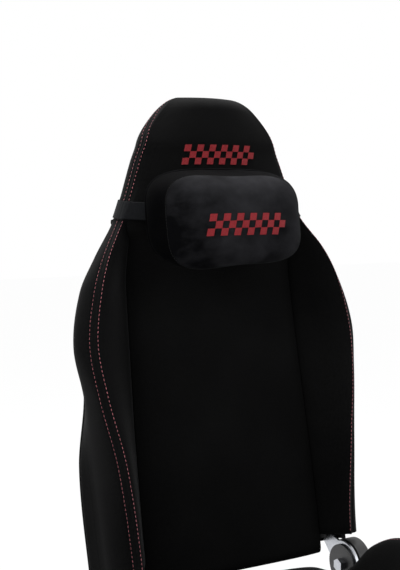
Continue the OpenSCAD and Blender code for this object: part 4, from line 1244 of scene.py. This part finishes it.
def board_box(name, middle, size, bevel, count=1):
    """A bevelled box lying on the backrest's board, repeated along u with one tooth's pitch."""
    bpy.ops.object.select_all(action="DESELECT")
    bpy.ops.mesh.primitive_cube_add(size=1)
    piece = bpy.context.object
    piece.name = piece.data.name = name
    piece.scale = [c / 1000 for c in size]
    bpy.ops.object.transform_apply(scale=True)
    modified(piece, "BEVEL", width=bevel / 1000, segments=2)
    if count > 1:
        modified(piece, "ARRAY", count=count, use_relative_offset=False, use_constant_offset=True,
                 constant_offset_displace=(TOOTH / 1000, 0, 0))
    piece.rotation_euler = (-LEAN, 0, 0)
    piece.location = on_back(*middle)
    bpy.ops.object.transform_apply(location=True, rotation=True)
    return piece


def joined(pieces):
    """One piece of several, with the first one's name."""
    pick(*pieces)
    bpy.ops.object.join()
    return soften(pieces[0], 0, 35)


print("the zip is", 2 * ZIP_HALF, "mm long")

# %% Tape, teeth and slider
tape_rows = [[on_back(u, v, ZIP_W) for v in spread(ZIP_V + 8, ZIP_V - 8, 4)]
             for u in spread(-ZIP_HALF - 2, ZIP_HALF + 2, 60)]
tape = thicken(cloth_grid("zip_tape", tape_rows), 0.0006)
dress(soften(tape), zip_tape, "backrest", "seat_fabric")
count = int(2 * ZIP_HALF / TOOTH) - 1
teeth = [board_box("zip_teeth", (-ZIP_HALF + shift, ZIP_V + v, ZIP_W - 0.9), (1.7, 3.2, 1.2), 0.3,
                   count) for shift, v in ((1, 0.9), (1 + TOOTH / 2, -0.9))]
dress(joined(teeth), black_plastic, "backrest", "black_plastic", "rear_zip")
slider = [board_box("zip_slider", (-ZIP_HALF + 14, ZIP_V, ZIP_W - 1.9), (11, 8, 2.6), 0.8),
          board_box("zip_bridge", (-ZIP_HALF + 13, ZIP_V, ZIP_W - 3.6), (7, 2.2, 1.6), 0.5),
          board_box("zip_pull", (-ZIP_HALF + 26, ZIP_V, ZIP_W - 3.0), (20, 5, 1.1), 0.4)]
dress(joined(slider), zinc_steel, "backrest", "zinc_steel")
print("zip has", 2 * count, "teeth")

# %% [markdown]
# ## Head pillow
#
# The pillow is a bag of plush over soft filling: a flat back, a gusset round its sides and a
# front panel, pulled in at the seams. It is drawn as layers from back to front, each a rounded
# oblong, then puffed up by a cloth simulation: pressure from inside pushes the plush out while
# its seams are pinned, so that the little cloth to spare gathers beside them.

# %% Pillow
PILLOW_U, PILLOW_V, PILLOW_W0 = -4, NECK - 11, 60.5
PILLOW_SIZE = (313, 172, 84)
SPREAD_LOSS, PILLOW_NOD, PILLOW_TURN = 0.955, 20, 8
DEPTHS = (0, 0.02, 0.08, 0.14, 0.3, 0.46, 0.59, 0.66, 0.73, 0.83, 0.92, 0.975, 1)
WIDTHS = list(zip(DEPTHS, (
    0.8, 0.93, 0.992, 1.0, 0.985, 0.945, 0.885, 0.85, 0.8, 0.7, 0.55, 0.35, 0)))
HEIGHTS = list(zip(DEPTHS, (
    0.74, 0.91, 0.985, 1.0, 1.0, 1.0, 1.0, 0.98, 0.925, 0.81, 0.64, 0.41, 0)))
DIPS = [(0, 0), (0.14, 0), (0.30, 1), (0.46, 2), (0.59, 3.5), (0.66, 4), (0.83, 3), (1, 0)]
POWERS = [(0, 3.4), (0.14, 3.8), (0.59, 4), (0.73, 3.8), (0.83, 3.4), (0.92, 3), (1, 2)]
PILLOW_SEAM, PILLOW_SIDES = 0.62, 176
HEM_RISE, HEM_TILT, SIDE_LEAN = 15, 8, 5


def oblong(half_w, half_h, dip, power, sides):
    """A rounded oblong whose long edges are pressed in at the middle."""
    ring = []
    for a in spread(0, 2 * pi, sides)[:-1]:
        c, s = cos(a), sin(a)
        x = copysign(half_w * abs(c) ** (2 / power), c)
        y = copysign(half_h * abs(s) ** (2 / power), s)
        pull = dip * max(1 - (x / max(half_w, 1) / 0.7) ** 2, 0) ** 2 * abs(s)
        ring.append((x, y - copysign(pull, s)))
    return ring


def evened(ring, sides):
    """The same ring with its points one even step apart."""
    places = [Vector((x, y, 0)) for x, y in ring + ring[:1]]
    whole = arc_lengths(places)[-1]
    return [places[k].lerp(places[k + 1], f).to_2d()
            for k, f in walked(places, [whole * i / sides for i in range(sides)])]


def pillow_ring(f):
    """The pillow's outline at a share f of its depth. Its front nods down and turns aside."""
    w, h, d = PILLOW_SIZE
    ring = oblong(w / 2 * SPREAD_LOSS * curve(WIDTHS, f), h / 2 * curve(HEIGHTS, f), curve(DIPS, f),
                  curve(POWERS, f), 4 * PILLOW_SIDES)
    ahead = min(f / 0.6, 1)
    u, v = PILLOW_U - PILLOW_TURN * ahead, PILLOW_V - PILLOW_NOD * ahead
    made = []
    for x, y in evened(ring, PILLOW_SIDES):
        low, across = max(-2 * y / h, 0), 2 * x / w
        made.append(on_back(u + x - SIDE_LEAN * max(across, 0) * low,
                            v + y + (HEM_RISE + HEM_TILT * across) * low, PILLOW_W0 + d * f))
    return made


print("pillow is", PILLOW_SIZE, "mm before it is drawn in")

# %% Pillow's layers
layers = ([0, 0.008, 0.02, 0.04, 0.06, 0.08, 0.105, 0.14] + spread(0.18, PILLOW_SEAM - 0.03, 9)
          + [PILLOW_SEAM - 0.012, PILLOW_SEAM, PILLOW_SEAM + 0.012]
          + [1 - 0.36 * (1 - f) ** 2 for f in spread(0.05, 0.93, 22)])
rings = [pillow_ring(f) for f in layers]
middle = on_back(PILLOW_U, PILLOW_V, PILLOW_W0)
backs = [[middle + (p - middle) * s for p in rings[0]] for s in spread(0.08, 0.92, 11)]
rows = closed_rows(backs + rings, 1)
pillow = weld(cloth_grid("head_pillow_plush", rows))
print("pillow has", len(pillow.data.polygons), "faces before it is puffed")

# %% [markdown]
# The simulation runs on the pillow alone. Vertices near the seams and on the flat back are
# pinned. Each point's way is capped, so that no stray point leaves the pillow. The wrinkles it
# leaves are sharper than plush makes, so they are then smoothed into soft dimples.

# %% Puff
PUFF_FRAMES, PUFF_CAP = 20, 0.006
PUFF = {"quality": 6, "mass": 0.3, "use_pressure": True, "uniform_pressure_force": 1.2,
        "tension_stiffness": 30.0, "compression_stiffness": 30.0, "shear_stiffness": 12.0,
        "bending_stiffness": 0.4, "shrink_min": -0.006, "vertex_group_mass": "pins"}


def puff(piece, held):
    """Blows a closed piece up like a cushion. held gives each vertex's pin weight."""
    pick(piece)
    rest = [v.co.copy() for v in piece.data.vertices]
    pins = piece.vertex_groups.new(name="pins")
    for i, weight in enumerate(held):
        pins.add([i], weight, "REPLACE")
    cloth = piece.modifiers.new("cloth", "CLOTH")
    for key, value in PUFF.items():
        setattr(cloth.settings, key, value)
    cloth.settings.effector_weights.gravity = 0
    cloth.collision_settings.use_collision = False
    cloth.point_cache.frame_start, cloth.point_cache.frame_end = 1, PUFF_FRAMES
    for number in range(1, PUFF_FRAMES + 1):
        scene.frame_set(number)
        bpy.context.view_layer.update()
    shape = piece.evaluated_get(bpy.context.evaluated_depsgraph_get()).data
    moved = [v.co.copy() for v in shape.vertices]
    piece.modifiers.remove(cloth)
    piece.vertex_groups.remove(pins)
    scene.frame_set(1)
    furthest = 0.0
    for vertex, a, b in zip(piece.data.vertices, rest, moved):
        step = b - a
        if not step.length < 1:
            step = Vector()
        if step.length > PUFF_CAP:
            step *= PUFF_CAP / step.length
        furthest = max(furthest, step.length)
        vertex.co = a + step
    print(piece.name, "moved up to", round(furthest * 1000, 1), "mm")


print("the plush is puffed over", PUFF_FRAMES, "frames")

# %% Relax
def relax(piece, chosen, repeat):
    """Smooths the chosen vertices, so that sharp creases become soft dimples."""
    with editing(piece):
        bpy.ops.mesh.select_mode(type="VERT")
        bpy.ops.mesh.select_all(action="DESELECT")
    for vertex in piece.data.vertices:
        vertex.select = chosen(vertex.co)
    with editing(piece):
        bpy.ops.mesh.vertices_smooth(factor=0.5, repeat=repeat)


def pillow_depth(place):
    """Share of the pillow's depth at a place: 0 at its back, 1 at its front."""
    return (on_board(place)[1] - PILLOW_W0) / PILLOW_SIZE[2]


depths = [pillow_depth(vertex.co) for vertex in pillow.data.vertices]
puff(pillow, [1.0 if f < 0.06 else max(0.0, 1 - abs(f - PILLOW_SEAM) / 0.02) * 0.97
              for f in depths])
relax(pillow, lambda place: pillow_depth(place) > PILLOW_SEAM + 0.035, 14)
relax(pillow, lambda place: 0.1 < pillow_depth(place) < PILLOW_SEAM - 0.035, 6)


print("the front seam lies at", PILLOW_SEAM, "of the pillow's depth")

# %% Pillow's seams and piping
front_seam = dropped(pillow_ring(PILLOW_SEAM), surface_of(pillow))
front_seam.append(front_seam[0])
mark_seam(pillow, front_seam, lambda place: pillow_depth(place) - PILLOW_SEAM)
soften(pillow, 1, 60)
dress(pillow, pillow_velvet, "pillow_set", "pillow_velvet", "head_pillow")

back_seam = dropped(pillow_ring(0.085), surface_of(pillow))
piping = tube_along("pillow_piping", [(p + n * 0.0006, n) for p, n in back_seam], 0.0019, 8, True)
dress(piping, pillow_velvet, "pillow_set", "pillow_velvet")
checked_strip("pillow_checks", surface_of(pillow), (-6, 605), (150, 36),
              "pillow_set", "pillow_velvet")
sew("pillow_stitches", [front_seam], (0.0046, 0.0031, 0.0007),
    black_thread, "pillow_set", "pillow_velvet")
print("pillow done")

# %% [markdown]
# ## Strap
#
# The strap is a flat elastic, thirty millimetres wide. It leaves the pillow's back corners,
# lies over the stitched band at the neck and runs round behind. Each of its seven lines of points
# follows the neck at its own height, so that the strap lies flat on the sloping sides. The head
# narrows upwards, so the elastic draws in by a tenth as the pillow slides up.

# %% Strap
STRAP_W, STRAP_T, STRAP_RISE = 30, 2.0, 2.9
STRAP_LIFT, STRAP_LEAN = 17, 0.26
STRAP_LINES = (-1, -0.94, -0.5, 0, 0.5, 0.94, 1)


def neck_line(v):
    return slope_line(v, 10)[4:] + band_line(v, 4) + side_line(v, 8) + rear_line(v, 8)


def strap_height(w, side):
    """The strap climbs towards the back of the head."""
    return NECK + STRAP_LIFT - STRAP_LEAN * w + side * STRAP_W / 2


def strap_line(side):
    """One long edge-to-edge line of the strap, side -1..1 across its width."""
    rough = neck_line(NECK)
    line = []
    for i in range(len(rough)):
        v = strap_height(rough[i][1], side)
        near = [Vector(p) for p in neck_line(v)]
        a, b = near[max(i - 1, 0)], near[min(i + 1, len(near) - 1)]
        out = Vector((-(b - a).y, (b - a).x)).normalized()
        p = near[i] + out * STRAP_RISE
        line.append((p.x, v, p.y))
    v = strap_height(PILLOW_W0, side)
    anchor = (PILLOW_SIZE[0] / 2 * 0.82, v, PILLOW_W0 - 1.5)
    first = [tuple(a + (b - a) * f for a, b in zip(anchor, line[0])) for f in (0, 0.3, 0.6, 0.85)]
    half = first + line
    return half + mirrored(half[:-1])


print("the strap rides", STRAP_RISE, "mm off the cloth")

# %% Strap round the neck
lines = [strap_line(side) for side in STRAP_LINES]
rows = [[on_back(*line[k]) for line in lines] for k in range(len(lines[0]))]
strap = cloth_grid("pillow_strap_elastic", rows, 3)
strap_length = arc_lengths([row[3] for row in rows])[-1]
soften(weld(thicken(strap, STRAP_T / 1000, 1)), 1, 60)
dress(strap, strap_elastic, "pillow_set", "strap_elastic", "pillow_strap")
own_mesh(strap)
print("strap is", round(strap_length, 3), "m long round the neck")

# %% [markdown]
# ## Floor, lights and background
#
# The floor is plain and pale. A large soft lamp from the sitter's right and above lights the
# side that the camera sees, a weaker one fills from the left, and a third picks out the top edge.
# The world gives a grey level light, and reads white only where a camera or a mirror looks at it.

# %% Stage
def blend_into(tree, share, first, second, output):
    """Sends the output node a mix of two shaders."""
    mixer = tree.nodes.new("ShaderNodeMixShader")
    for source, socket in zip((share, first, second), mixer.inputs):
        tree.links.new(source, socket)
    tree.links.new(mixer.outputs[0], tree.nodes[output].inputs["Surface"])


def stage_material(name, level):
    stage = Finish(name)
    seen, glossy, through = [stage.node("ShaderNodeLightPath", {}, [], f"Is {ray} Ray")
                             for ray in ("Camera", "Glossy", "Transmission")]
    colour = stage.tint(stage.noise(stage.place(), 3.0), [level] * 3, [level - 3] * 3)
    glow = stage.node("ShaderNodeEmission", {}, [])
    share = (seen * 0.96 + (glossy + through) * 0.5).clamp()
    blend_into(stage.tree, share.socket, stage.shader.outputs[0], glow.socket, "Material Output")
    return stage.finish(Base_Color=colour, Roughness=0.9)


bpy.ops.mesh.primitive_plane_add(size=16, location=(0, 0, 0))
floor = bpy.context.object
floor.name = "floor"
floor.data.materials.append(stage_material("floor", 250))
print("floor is", floor.data.materials[0].name)

# %% World
world = bpy.data.worlds.new("studio")
world.use_nodes = True
scene.world = world
tree = world.node_tree
ground, white = tree.nodes["Background"], tree.nodes.new("ShaderNodeBackground")
ground.inputs["Color"].default_value = (0.55, 0.56, 0.58, 1.0)
white.inputs["Color"].default_value = (1, 1, 1, 1)
path = tree.nodes.new("ShaderNodeLightPath")
either = tree.nodes.new("ShaderNodeMath")
either.operation = "MAXIMUM"
tree.links.new(path.outputs["Is Camera Ray"], either.inputs[0])
tree.links.new(path.outputs["Is Glossy Ray"], either.inputs[1])
blend_into(tree, either.outputs[0], ground.outputs[0], white.outputs[0], "World Output")
print("world is", world.name)

# %% Lamps
for name, place, target, size, power in (
        ("key", (-2.6, -0.5, 2.1), (0, 0.25, 0.8), 1.4, 48),
        ("fill", (1.9, -2.2, 1.6), (0, 0.2, 0.7), 1.8, 16),
        ("top", (0.2, 0.6, 2.6), (0, 0.3, 0.9), 1.2, 75)):
    lamp = bpy.data.lights.new(name, "AREA")
    lamp.shape, lamp.size, lamp.energy = "DISK", size, power
    aimed(name, lamp, place, Vector(target) - Vector(place))
scene.view_settings.view_transform = "Standard"

# %% [markdown]
